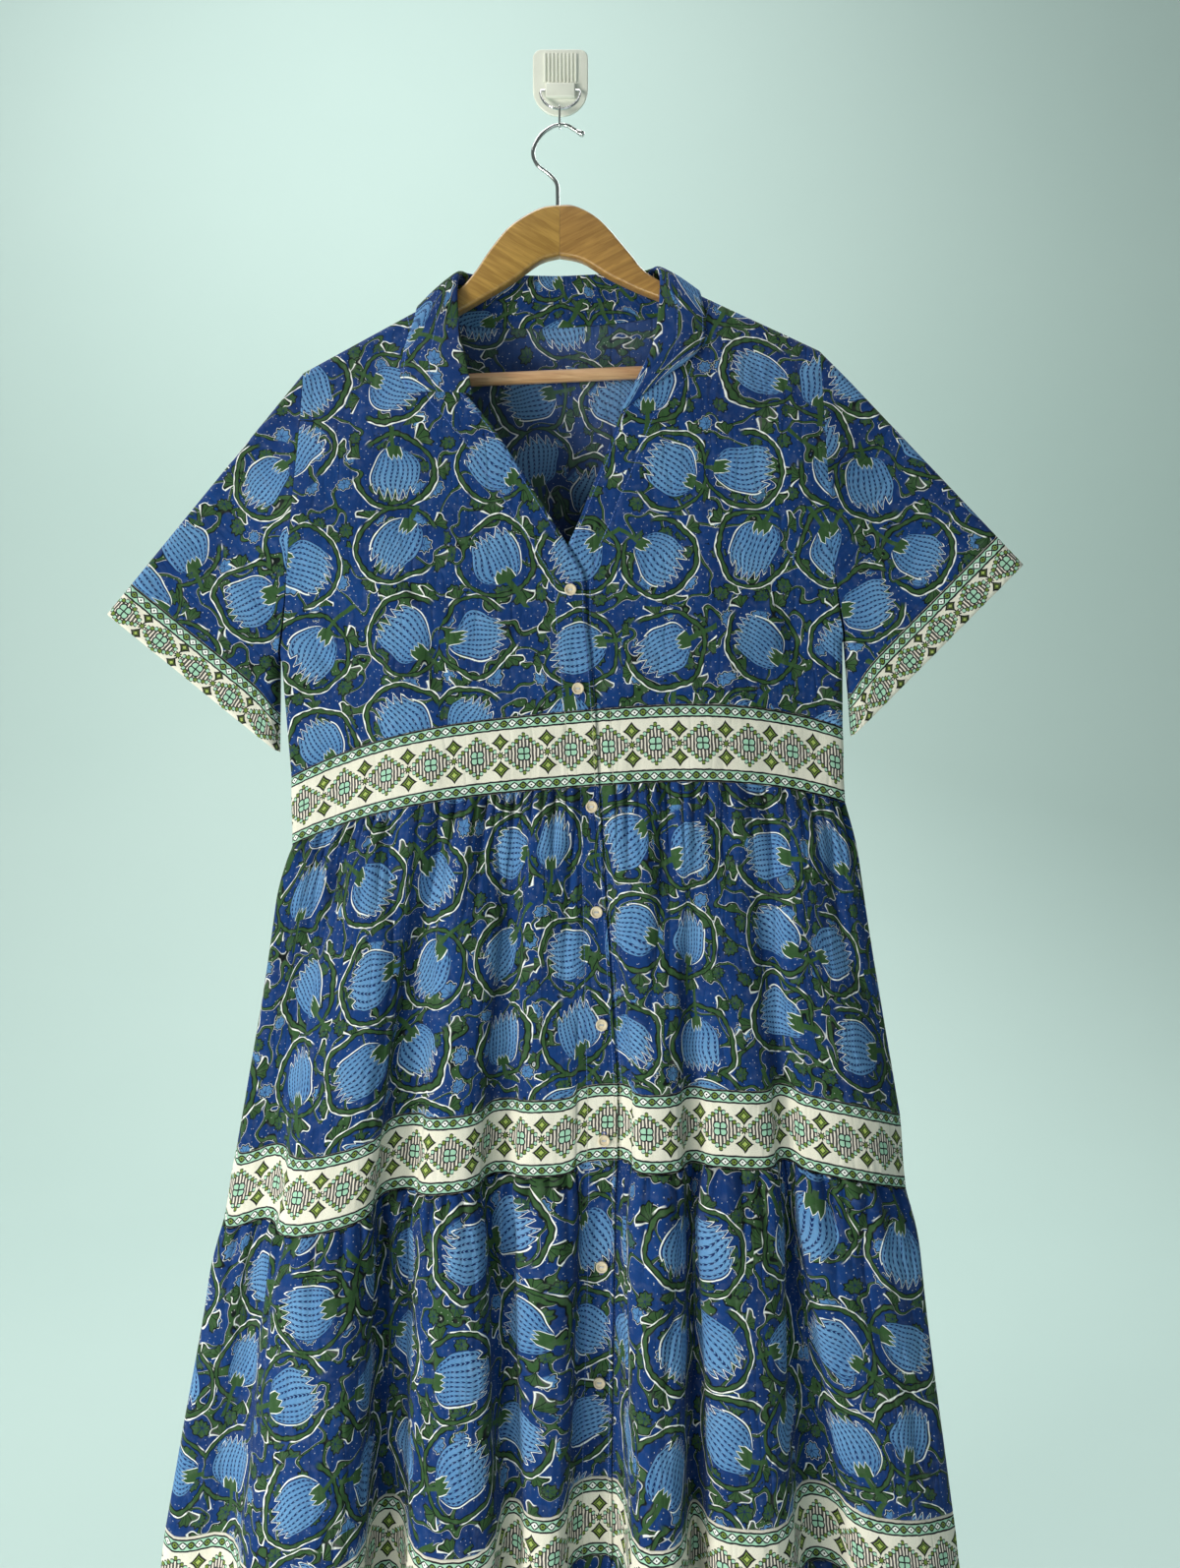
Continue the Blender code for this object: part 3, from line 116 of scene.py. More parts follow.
class Ink(str, Enum):
    """The block printer's colours on cotton, and what they lie on."""

    DEEP_BLUE = "#09265c"
    BRIGHT_BLUE = "#114182"
    VEIN_BLUE = "#0c2258"
    LOTUS = "#4f80b4"
    LOTUS_PALE = "#6d9dca"
    LEAF = "#33542f"
    LEAF_DARK = "#071213"
    CHALK = "#f4f8f4"
    CREAM = "#efece0"
    MINT = "#a6d3ba"
    OLIVE = "#6f8838"
    LINE = "#1c1a20"


class Spot(NamedTuple):
    """A place seen from the front, in millimetres."""

    x: float
    z: float


def spots(*places: tuple[float, float]) -> tuple[Spot, ...]:
    """Return places by their x and z."""
    return tuple(Spot(*place) for place in places)


@dataclass(frozen=True)
class Half:
    """One half of the bodice with its sleeve, by its corners."""

    side: str
    sign: float
    neck: Spot
    shoulder: Spot
    cuff_top: Spot
    cuff_foot: Spot
    underarm: Spot
    waist: Spot
    armhole: tuple[Spot, ...]
    edge: tuple[Spot, ...]


RIGHT = Half(
    "right", -1.0,
    *spots((-108.0, -212.0), (-223.0, -278.5), (-395.0, -491.0), (-245.0, -612.0), (-243.0, -531.0),
           (-234.0, -634.0)),
    spots((-225.0, -347.0), (-228.0, -403.0), (-237.5, -490.0)),
    spots((-108.0, -212.0), (-100.0, -245.0), (-91.0, -285.0), (-84.0, -301.0), (-56.7, -334.0),
          (-25.6, -382.0), (5.5, -432.7), (22.8, -462.0), (24.5, -499.0), (29.5, -555.0), (31.0, -577.0)),
)
LEFT = Half(
    "left", 1.0,
    *spots((108.0, -200.0), (228.0, -258.6), (406.0, -447.5), (256.0, -598.0), (248.0, -515.0),
           (248.0, -591.0)),
    spots((230.5, -369.0), (232.5, -421.5), (242.0, -479.5)),
    spots((108.0, -200.0), (97.0, -240.0), (86.0, -280.0), (66.0, -308.0), (54.0, -322.0), (38.4, -364.0),
          (26.8, -391.0), (18.0, -414.0), (9.0, -434.0), (1.0, -465.0), (1.0, -499.0), (4.0, -555.0),
          (5.0, -577.0)),
)
BACK_NECK = spots(
    (-107.8, -214.5), (-107.0, -219.5), (-99.0, -225.0), (-84.0, -227.5), (-45.0, -228.5), (0.0, -227.5),
    (45.0, -224.5), (84.0, -219.5), (99.0, -214.0), (107.0, -207.5), (107.8, -202.5),
)


@dataclass(frozen=True)
class Crease:
    """A soft trough or ridge pressed into a front: its two ends, its width and how deep it goes."""

    start: Spot
    end: Spot
    width: float
    depth: float


# Drape of the fronts: long soft folds that fall from the collar and pull from the armholes
FRONT_CREASES = tuple(Crease(Spot(*start), Spot(*end), width, depth) for start, end, width, depth in (
    ((-128.0, -480.0), (-118.0, -470.0), 12.0, -5.0),
    ((-112.0, -512.0), (-92.0, -560.0), 11.0, -4.5),
    ((-140.0, -528.0), (-150.0, -590.0), 13.0, 3.5),
    ((-70.0, -592.0), (-60.0, -600.0), 14.0, 3.0),
    ((-196.0, -528.0), (-208.0, -560.0), 9.0, -4.0),
    ((-180.0, -672.0), (-176.0, -620.0), 10.0, 3.0),
    ((-222.0, -752.0), (-150.0, -560.0), 10.0, -2.5),
    ((-28.0, -704.0), (-20.0, -600.0), 10.0, -2.5),
    ((100.0, -464.0), (112.0, -480.0), 12.0, -4.5),
    ((70.0, -528.0), (64.0, -560.0), 13.0, 3.5),
    ((140.0, -496.0), (150.0, -560.0), 12.0, 3.0),
    ((196.0, -480.0), (214.0, -540.0), 9.0, -4.5),
    ((182.0, -672.0), (170.0, -580.0), 10.0, 3.0),
    ((230.0, -720.0), (160.0, -540.0), 10.0, -2.5),
    ((36.0, -672.0), (48.0, -570.0), 9.0, -2.5),
))


@dataclass(frozen=True)
class BodiceForm:
    """The flattened tube of the bodice and sleeves, as depths from the plane in which the hanger hangs."""

    hang_top: float = -45.0
    hang_y: float = -14.0
    hang_lean: float = 0.11
    hang_foot: float = -285.0
    waist_y: float = -45.0
    shoulder_round: float = 11.0
    side_round: float = 9.0
    front_belly: float = 32.0
    back_belly: float = 24.0
    belly_reach: float = 130.0
    sleeve_belly: float = 0.34
    sleeve_start: float = 205.0
    sleeve_ease: float = 110.0
    neck_peak: float = 45.0
    underarm_gap: float = 2.2
    # The creases bow sideways by this much, and fade in and out over these shares of their length
    crease_bow: float = 5.0
    crease_waves: float = 6.0
    fade_in: float = 0.25
    fade_out: float = 0.4
    front_ripple: float = 0.5
    back_ripple: float = 1.2
    # The cloth is loose where it stands off by more than this share of the shoulder's rounding
    loose_from: float = 0.9
    loose_ease: float = 6.0

    def middle_y(self, z: np.ndarray) -> np.ndarray:
        """Return the y of the plane between front and back."""
        z = np.asarray(z, float)
        lean = self.hang_y + self.hang_lean * (z - self.hang_top)
        foot = self.hang_y + self.hang_lean * (self.hang_foot - self.hang_top)
        low = blend(foot, self.waist_y, (z - self.hang_foot) / (RIGHT.waist.z - self.hang_foot))
        return np.where(z > self.hang_foot, lean, low)

    def top_line(self, x: np.ndarray) -> np.ndarray:
        """Return the height of the shoulder line at x, with a crest across the neck."""
        spots = (RIGHT.cuff_top, RIGHT.shoulder, RIGHT.neck, LEFT.neck, LEFT.shoulder, LEFT.cuff_top)
        straight = np.interp(x, [spot.x for spot in spots], [spot.z for spot in spots])
        return straight + self.neck_peak * np.maximum(0.0, 1.0 - (x / LEFT.neck.x) ** 2)

    @staticmethod
    def line_distance(x: np.ndarray, z: np.ndarray, a: Spot, b: Spot) -> np.ndarray:
        """Return the distance from each place to the straight line from a to b."""
        run_x = b.x - a.x
        run_z = b.z - a.z
        share = ((x - a.x) * run_x + (z - a.z) * run_z) / (run_x ** 2 + run_z ** 2)
        share = np.clip(share, 0.0, 1.0)
        return np.hypot(x - a.x - share * run_x, z - a.z - share * run_z)

    @staticmethod
    def quarter_round(distance: np.ndarray, radius: float) -> np.ndarray:
        """Return a quarter circle's rise, from 0 to 1, over a radius."""
        share = np.clip(distance / radius, 1e-4, 1.0)
        return np.sqrt(1.0 - (1.0 - share) ** 2)

    def depth(self, x: np.ndarray, z: np.ndarray, facing: float) -> np.ndarray:
        """Return how far the cloth stands from the middle plane.

        Args:
            x: Places across.
            z: Heights.
            facing: FRONT or BACK.

        Returns:
            Depths in millimetres.
        """
        drop = self.top_line(x) - z
        low = np.zeros_like(drop)
        for half in (RIGHT, LEFT):
            underarm = Spot(half.underarm.x + half.sign * self.underarm_gap, half.underarm.z)
            sleeve = self.line_distance(x, z, underarm, half.cuff_foot)
            body = self.line_distance(x, z, half.underarm, half.waist)
            here = np.where(np.abs(x) > abs(half.underarm.x), sleeve, body)
            low = np.where(np.sign(x) == half.sign, here, low)
        low = np.where(x == 0.0, self.belly_reach, low)
        belly = self.front_belly if facing < 0.0 else self.back_belly
        on_sleeve = ease((np.abs(x) - self.sleeve_start) / self.sleeve_ease)
        belly = belly * blend(1.0, self.sleeve_belly, on_sleeve)
        rounding = self.quarter_round(drop, self.shoulder_round) * self.quarter_round(low, self.side_round)
        swelling = ease(drop / self.belly_reach) * ease(low / self.belly_reach)
        beyond = np.maximum(0.0, belly - self.shoulder_round)
        return SEAM / 2.0 + self.shoulder_round * rounding + beyond * swelling

    def drape(self, x: np.ndarray, z: np.ndarray) -> np.ndarray:
        """Return how far the listed creases and a faint ripple move the front's cloth outward."""
        moved = self.front_ripple * np.sin(x * 0.11 + z * 0.03) * np.sin(z * 0.045 + 1.3)
        for crease in FRONT_CREASES:
            start = crease.start
            run_x = crease.end.x - start.x
            run_z = crease.end.z - start.z
            share = ((x - start.x) * run_x + (z - start.z) * run_z) / (run_x ** 2 + run_z ** 2)
            bow = self.crease_bow * np.sin(share * self.crease_waves + start.x)
            across = ((x - start.x) * run_z - (z - start.z) * run_x) / math.hypot(run_x, run_z) + bow
            fade = ease(share / self.fade_in) * ease((1.0 - share) / self.fade_out)
            moved = moved + crease.depth * fade * np.exp(-(across / crease.width) ** 2)
        return moved

    def points(self, x: np.ndarray, z: np.ndarray, facing: float,
               lap: np.ndarray | float = 0.0) -> np.ndarray:
        """Return the cloth's points.

        Args:
            x: Places across.
            z: Heights.
            facing: FRONT or BACK.
            lap: How far the cloth is moved inward, under another layer.

        Returns:
            An array of x, y and z.
        """
        depth = self.depth(x, z, facing)
        loose = ease((depth - self.shoulder_round * self.loose_from) / self.loose_ease)
        if facing < 0.0:
            depth = depth + self.drape(x, z) * loose
        else:
            depth = depth + self.back_ripple * loose * np.sin(x * 0.05) * np.sin(z * 0.012)
        return np.stack([x, self.middle_y(z) + facing * (depth - lap), z], axis=-1)


# The form of the skirt


@dataclass(frozen=True)
class Level:
    """One seam round the dress. spread is 0 for the flat waist, 1 and 2 for the two tables of folds."""

    right: Spot
    left: Spot
    edge_x: float
    mid_y: float
    front_rise: float
    back_rise: float
    spread: int
    gain: float

    def height(self, x: np.ndarray, facing: float) -> np.ndarray:
        """Return the seam's height at x: a straight line between the sides, arched up."""
        share = (x - self.right.x) / (self.left.x - self.right.x)
        rise = self.front_rise if facing < 0.0 else self.back_rise
        return blend(self.right.z, self.left.z, share) + rise * (1.0 - np.abs(2.0 * share - 1.0) ** 3)


WAIST_TOP = Level(RIGHT.waist, LEFT.waist, 31.0, -45.0, 34.0, 14.0, 0, 1.0)
WAIST_FOOT = Level(Spot(-233.0, -694.0), Spot(250.0, -657.0), 34.0, -46.0, 32.0, 14.0, 0, 1.0)
BAND2_TOP = Level(Spot(-277.0, -950.0), Spot(294.0, -924.0), 52.0, -60.0, 41.0, 20.0, 1, 1.0)
BAND2_FOOT = Level(Spot(-288.0, -1014.0), Spot(299.0, -988.0), 52.0, -61.0, 41.0, 20.0, 1, 1.06)
BAND3_TOP = Level(Spot(-333.0, -1269.0), Spot(335.0, -1256.0), 47.0, -75.0, 30.0, 14.0, 2, 1.0)
BAND3_FOOT = Level(Spot(-340.0, -1335.0), Spot(343.0, -1322.0), 47.0, -77.0, 30.0, 14.0, 2, 1.05)
HEM = Level(Spot(-362.0, -1475.0), Spot(366.0, -1462.0), 47.0, -79.0, 26.0, 12.0, 2, 1.1)


@dataclass(frozen=True)
class Fold:
    """One fold at the middle border (2) and the hem border (3): its ends, depth and how far its seam dips."""

    start2: float
    end2: float
    depth2: float
    dip2: float
    start3: float
    end3: float
    depth3: float
    dip3: float

    def at(self, spread: int) -> tuple[float, float, float, float]:
        """Return the start, end, depth and dip at the hem border if spread is 2, else at the middle one."""
        if spread == 2:
            return self.start3, self.end3, self.depth3, self.dip3
        return self.start2, self.end2, self.depth2, self.dip2


FRONT_FOLDS = (
    Fold(-276.0, -238.0, 14.0, 10.0, -322.0, -274.0, 10.0, 12.0),
    Fold(-221.0, -151.0, 54.0, 25.0, -250.0, -157.0, 66.0, 26.0),
    Fold(-150.0, -118.0, 20.0, 12.0, -160.0, -131.0, 0.0, 6.0),
    Fold(-111.0, -68.0, 40.0, 14.0, -118.0, -54.0, 58.0, 27.0),
    Fold(-60.0, -38.0, 12.0, 9.0, -47.0, -32.0, 18.0, 3.0),
    Fold(-31.0, 12.0, 30.0, 8.0, -25.0, 6.0, 36.0, 9.0),
    Fold(18.0, 62.0, 24.0, -2.0, 11.0, 58.0, 0.0, -3.0),
    Fold(63.0, 99.0, 51.0, 2.0, 59.0, 101.0, 74.0, 13.0),
    Fold(107.0, 119.0, 28.0, 0.0, 109.0, 119.0, 28.0, 0.0),
    Fold(127.0, 176.0, 43.0, -1.0, 127.0, 190.0, 60.0, 4.0),
    Fold(184.0, 197.0, 24.0, -6.0, 202.0, 234.0, 6.0, -8.0),
    Fold(206.0, 256.0, 37.0, -2.0, 248.0, 297.0, 32.0, 2.0),
)
EDGE_FOLD = 6
BACK_FOLDS = (
    Fold(-266.0, -220.0, 16.0, 3.0, -312.0, -262.0, 18.0, 3.0),
    Fold(-205.0, -150.0, 43.0, 8.0, -250.0, -175.0, 60.0, 10.0),
    Fold(-138.0, -97.0, 23.0, 0.0, -163.0, -114.0, 26.0, 0.0),
    Fold(-85.0, -22.0, 45.0, 7.0, -100.0, -24.0, 62.0, 9.0),
    Fold(-8.0, 40.0, 25.0, 0.0, -8.0, 48.0, 24.0, 0.0),
    Fold(52.0, 110.0, 44.0, 7.0, 62.0, 130.0, 61.0, 10.0),
    Fold(122.0, 165.0, 23.0, 0.0, 144.0, 192.0, 22.0, 0.0),
    Fold(178.0, 232.0, 43.0, 8.0, 206.0, 270.0, 58.0, 9.0),
    Fold(244.0, 280.0, 16.0, 3.0, 284.0, 322.0, 18.0, 3.0),
)
FOLD_SIDES = ((-283.0, 52.0, 297.0), (-336.0, 47.0, 339.0))
SIDE_RUN = 8.0
SIDE_STEP = 1.5
EDGE_BACK = 10.5
LAP = 2.0
LAP_WIDTH = 26.0
LAP_END = 19.0
CORNER_CUTS = 2
CUT_SHARE = 0.25


@dataclass(frozen=True)
class SkirtForm:
    """The folded tube of the skirt, read at a share of the way round and a drop between two seams."""

    bodice: BodiceForm
    look_ahead: float = 0.004
    # The cloth lies flat this far from a side seam and from the closure, as shares and in millimetres
    side_flat: float = 0.02
    edge_flat: float = 0.015
    before_lap: float = 4.0
    inside_lap: float = 8.0

    def corners(self, level: Level, facing: float) -> np.ndarray:
        """Return a seam's corners from the right side to the left, as rows of x, y and dip."""
        side_y = level.mid_y + facing * SIDE_RUN
        rows = [(level.right.x, level.mid_y, 0.0), (level.right.x + SIDE_STEP, side_y, 0.0)]
        right, edge, left = FOLD_SIDES[max(level.spread - 1, 0)]
        for fold in FRONT_FOLDS if facing < 0.0 else BACK_FOLDS:
            *ends, depth, dip = fold.at(level.spread)
            for end in ends:
                if level.spread == 0:
                    x = self.waist_x(level, facing, len(rows))
                    z = WAIST_TOP.height(x, FRONT)
                    depth = float(self.bodice.depth(np.array(x), z, facing))
                    rows.append((x, level.mid_y + facing * depth, 0.0))
                    continue
                if end <= edge:
                    x = blend(level.right.x, level.edge_x, (end - right) / (edge - right))
                else:
                    x = blend(level.edge_x, level.left.x, (end - edge) / (left - edge))
                rows.append((x, level.mid_y + facing * depth * level.gain, dip))
        rows += [(level.left.x - SIDE_STEP, side_y, 0.0), (level.left.x, level.mid_y, 0.0)]
        return np.array(rows)

    def shares(self, facing: float) -> np.ndarray:
        """Return the share of the way round of each corner."""
        middle = self.corners(BAND2_FOOT, facing)
        low = self.corners(BAND3_TOP, facing)
        runs = [np.linalg.norm(np.diff(rows, axis=0), axis=1) for rows in (middle, low)]
        total = np.concatenate([[0.0], np.cumsum(runs[0] + 0.5 * runs[1])])
        return total / total[-1]

    def edge_share(self, offset: float) -> float:
        """Return the front share of the closure's edge, moved by an offset in millimetres."""
        shares = self.shares(FRONT)
        corners = self.corners(BAND2_FOOT, FRONT)
        index = 2 + 2 * EDGE_FOLD
        per_mm = (shares[index + 1] - shares[index]) / np.linalg.norm(corners[index + 1] - corners[index])
        return float(shares[index + 1] + (offset - EDGE_BACK) * per_mm)

    def waist_x(self, level: Level, facing: float, corner: int) -> float:
        """Return a fold corner's x at the waist, where the cloth of all folds is taken in evenly."""
        share = self.shares(facing)[corner]
        if facing > 0.0:
            return float(blend(level.right.x, level.left.x, share))
        edge = self.edge_share(0.0)
        if share <= edge:
            return float(blend(level.right.x, level.edge_x, share / edge))
        return float(blend(level.edge_x, level.left.x, (share - edge) / (1.0 - edge)))

    @staticmethod
    def rounded(values: np.ndarray) -> np.ndarray:
        """Cut the corners of an open run a few times, keeping its ends."""
        for _ in range(CORNER_CUTS):
            near = values[:-1] * (1.0 - CUT_SHARE) + values[1:] * CUT_SHARE
            far = values[:-1] * CUT_SHARE + values[1:] * (1.0 - CUT_SHARE)
            middle = np.stack([near, far], axis=1).reshape(-1, *values.shape[1:])
            values = np.concatenate([values[:1], middle, values[-1:]])
        return values

    def seam(self, level: Level, facing: float, share: np.ndarray) -> tuple[np.ndarray, np.ndarray]:
        """Return a seam's points and outward directions at shares of the way round.

        Args:
            level: The seam.
            facing: FRONT or BACK.
            share: Shares from 0 at the right side to 1 at the left.

        Returns:
            Points as x, y and z, and unit directions as x and y.
        """
        shares = self.rounded(self.shares(facing))
        rows = self.rounded(self.corners(level, facing))
        columns = [np.interp(share, shares, rows[:, i]) for i in range(3)]
        ahead = [np.interp(np.clip(share + self.look_ahead, 0.0, 1.0), shares, rows[:, i]) for i in range(2)]
        behind = [np.interp(np.clip(share - self.look_ahead, 0.0, 1.0), shares, rows[:, i]) for i in range(2)]
        run_x = ahead[0] - behind[0]
        run_y = ahead[1] - behind[1]
        out = np.stack([-run_y, run_x], axis=-1) * facing
        out /= np.linalg.norm(out, axis=-1, keepdims=True)
        x, y, dip = columns
        z = level.height(x, facing) - dip
        return np.stack([x, y, z], axis=-1), out

    def lap_weight(self, share: np.ndarray) -> np.ndarray:
        """Return 1 where the left front lies under the right one, easing to 0 past the edge."""
        start = self.edge_share(0.0)
        return 1.0 - ease((share - start) / (self.edge_share(LAP_END) - start))

    def gather_mask(self, share: np.ndarray, facing: float) -> np.ndarray:
        """Return 0 at the side seams and on the closure, where the cloth lies flat, and 1 elsewhere."""
        sides = ease(np.minimum(share, 1.0 - share) / self.side_flat)
        if facing > 0.0:
            return sides
        start = self.edge_share(-LAP_WIDTH - self.before_lap)
        end = self.edge_share(LAP_END - self.inside_lap)
        gap = np.maximum(start - share, share - end)
        return sides * ease(gap / self.edge_flat)


BODICE = BodiceForm()
SKIRT = SkirtForm(BODICE)
EDGE_SHARE = SKIRT.edge_share(0.0)
UNDER_SHARE = SKIRT.edge_share(-LAP_WIDTH)


# Cloth pieces


@dataclass
class Sheet:
    """A grid of cloth points with its place on the flat cloth and on its trim, all in millimetres."""

    points: np.ndarray
    flat: np.ndarray
    facing: float = FRONT
    trim: np.ndarray | None = None
    closed: bool = False
    facing_rows: tuple[int, int | None] = (0, None)
    facing_columns: tuple[int, int | None] = (0, None)

    def area(self) -> float:
        """Return the grid's area in square millimetres."""
        across = np.diff(self.points, axis=1)[:-1]
        down = np.diff(self.points, axis=0)[:, :-1]
        return float(np.linalg.norm(np.cross(across, down), axis=-1).sum())


@dataclass(frozen=True)
class Cut:
    """How a cloth piece was cut and how it is held."""

    node: str
    slot: str
    width: float
    length: float
    held: str
    wall: float = CLOTH_WALL
    finish: str = ""


def switch_to(mode: str) -> None:
    """Change the mode of the active piece."""
    bpy.ops.object.mode_set(mode=mode)


def new_piece(name: str, data: bpy.types.ID) -> bpy.types.Object:
    """Add a piece to the scene."""
    piece = bpy.data.objects.new(name, data)
    bpy.context.scene.collection.objects.link(piece)
    return piece


def set_finish(data: bpy.types.Mesh, material: bpy.types.Material) -> None:
    """Give a mesh one finish in place of any others."""
    data.materials.clear()
    data.materials.append(material)


def select_only(piece: bpy.types.Object) -> None:
    """Make a piece the only one selected, and the active one."""
    bpy.ops.object.select_all(action="DESELECT")
    bpy.context.view_layer.objects.active = piece
    piece.select_set(True)


class Tailor:
    def __init__(self, finishes: dict[str, tuple[bpy.types.Material, bpy.types.Material]]) -> None:
        """Keep the face and reverse material of each slot."""
        self.finishes = finishes

    def sew(self, sheet: Sheet, cut: Cut) -> bpy.types.Object:
        """Make one cloth piece with its thickness and its two maps, in place of its node.

        Args:
            sheet: The grid of points.
            cut: The piece's node, slot and flat size.

        Returns:
            The finished piece.
        """
        rows, columns, _ = sheet.points.shape
        distinct = columns - 1 if sheet.closed else columns
        vertices = sheet.points[:, :distinct].reshape(-1, 3) * MM
        index = np.arange(rows * distinct).reshape(rows, distinct)
        if sheet.closed:
            index = np.concatenate([index, index[:, :1]], axis=1)
        flip = self.inward(sheet)
        data = bpy.data.meshes.new(cut.node + "_cloth")
        data.from_pydata(vertices.tolist(), [], self.quads(index, flip).tolist())
        corners = self.quads(np.arange(rows * columns).reshape(rows, columns), flip).reshape(-1)
        self.write_map(data, UV_NAME, sheet.flat, corners)
        trim = sheet.trim if sheet.trim is not None else np.full((rows, columns, 2), FAR_FROM_TRIM)
        self.write_map(data, TRIM_NAME, trim, corners)
        data.shade_smooth()
        piece = new_piece(cut.node + "_cloth", data)
        for material in self.finishes[cut.finish or cut.slot]:
            data.materials.append(material)
        self.thicken(piece, cut.wall)
        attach(piece, BODY)
        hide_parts(cut.node)
        most = cut.width * cut.length
        area = max(LEAST_AREA * most, min(MOST_AREA * most, sheet.area()))
        cut.width * MM
        area * MM * MM
        LOG.info("%s: %d faces", piece.name, len(data.polygons))
        return piece

    @staticmethod
    def quads(index: np.ndarray, flip: bool) -> np.ndarray:
        """Return the four corners of each face of a grid, turned over where flip is true."""
        corners = [index[:-1, :-1], index[1:, :-1], index[1:, 1:], index[:-1, 1:]]
        faces = np.stack(corners, axis=-1).reshape(-1, 4)
        return faces[:, ::-1] if flip else faces

    @staticmethod
    def inward(sheet: Sheet) -> bool:
        """Return whether the grid's faces point into the dress where it is known which way they should."""
        points = sheet.points[slice(*sheet.facing_rows), slice(*sheet.facing_columns)]
        down = np.diff(points, axis=0)[:, :-1]
        across = np.diff(points, axis=1)[:-1]
        return float(np.cross(down, across)[..., 1].sum()) * sheet.facing < 0.0

    @staticmethod
    def write_map(data: bpy.types.Mesh, name: str, places: np.ndarray, corners: np.ndarray) -> None:
        """Write one UV map, in metres, from a grid of places in millimetres."""
        layer = data.uv_layers.new(name=name)
        values = places.reshape(-1, 2)[corners] * MM
        layer.data.foreach_set("uv", values.astype(np.float32).ravel())

    @staticmethod
    def thicken(piece: bpy.types.Object, wall: float) -> None:
        """Give a sheet its thickness, half to each side, with the reverse on the second slot."""
        select_only(piece)
        solid = piece.modifiers.new("Wall", "SOLIDIFY")
        solid.thickness = wall * MM
        solid.offset = 0.0
        solid.use_even_offset = False
        solid.material_offset = 1
        solid.material_offset_rim = 0
        bpy.ops.object.modifier_apply(modifier=solid.name)
        piece.select_set(False)


def arc_length(points: np.ndarray) -> np.ndarray:
    """Return the distance run along a line of points, from 0."""
    return np.concatenate([[0.0], np.cumsum(np.linalg.norm(np.diff(points, axis=0), axis=1))])


def crowded(count: int, power: float = 1.0) -> np.ndarray:
    """Return shares from 0 to 1 that crowd toward 0 as the power rises."""
    return np.linspace(0.0, 1.0, count) ** power


def route_x(route: Sequence[Spot], z: np.ndarray) -> np.ndarray:
    """Return a falling route's x at heights z."""
    return np.interp(-np.asarray(z), [-spot.z for spot in route], [spot.x for spot in route])


def arm_spots(half: Half, z: np.ndarray, inset: float = 0.0) -> np.ndarray:
    """Return the x of the armhole, and of the side seam below it, at heights z."""
    route = (half.shoulder, *half.armhole, half.underarm, half.waist)
    return route_x(route, z) - half.sign * inset


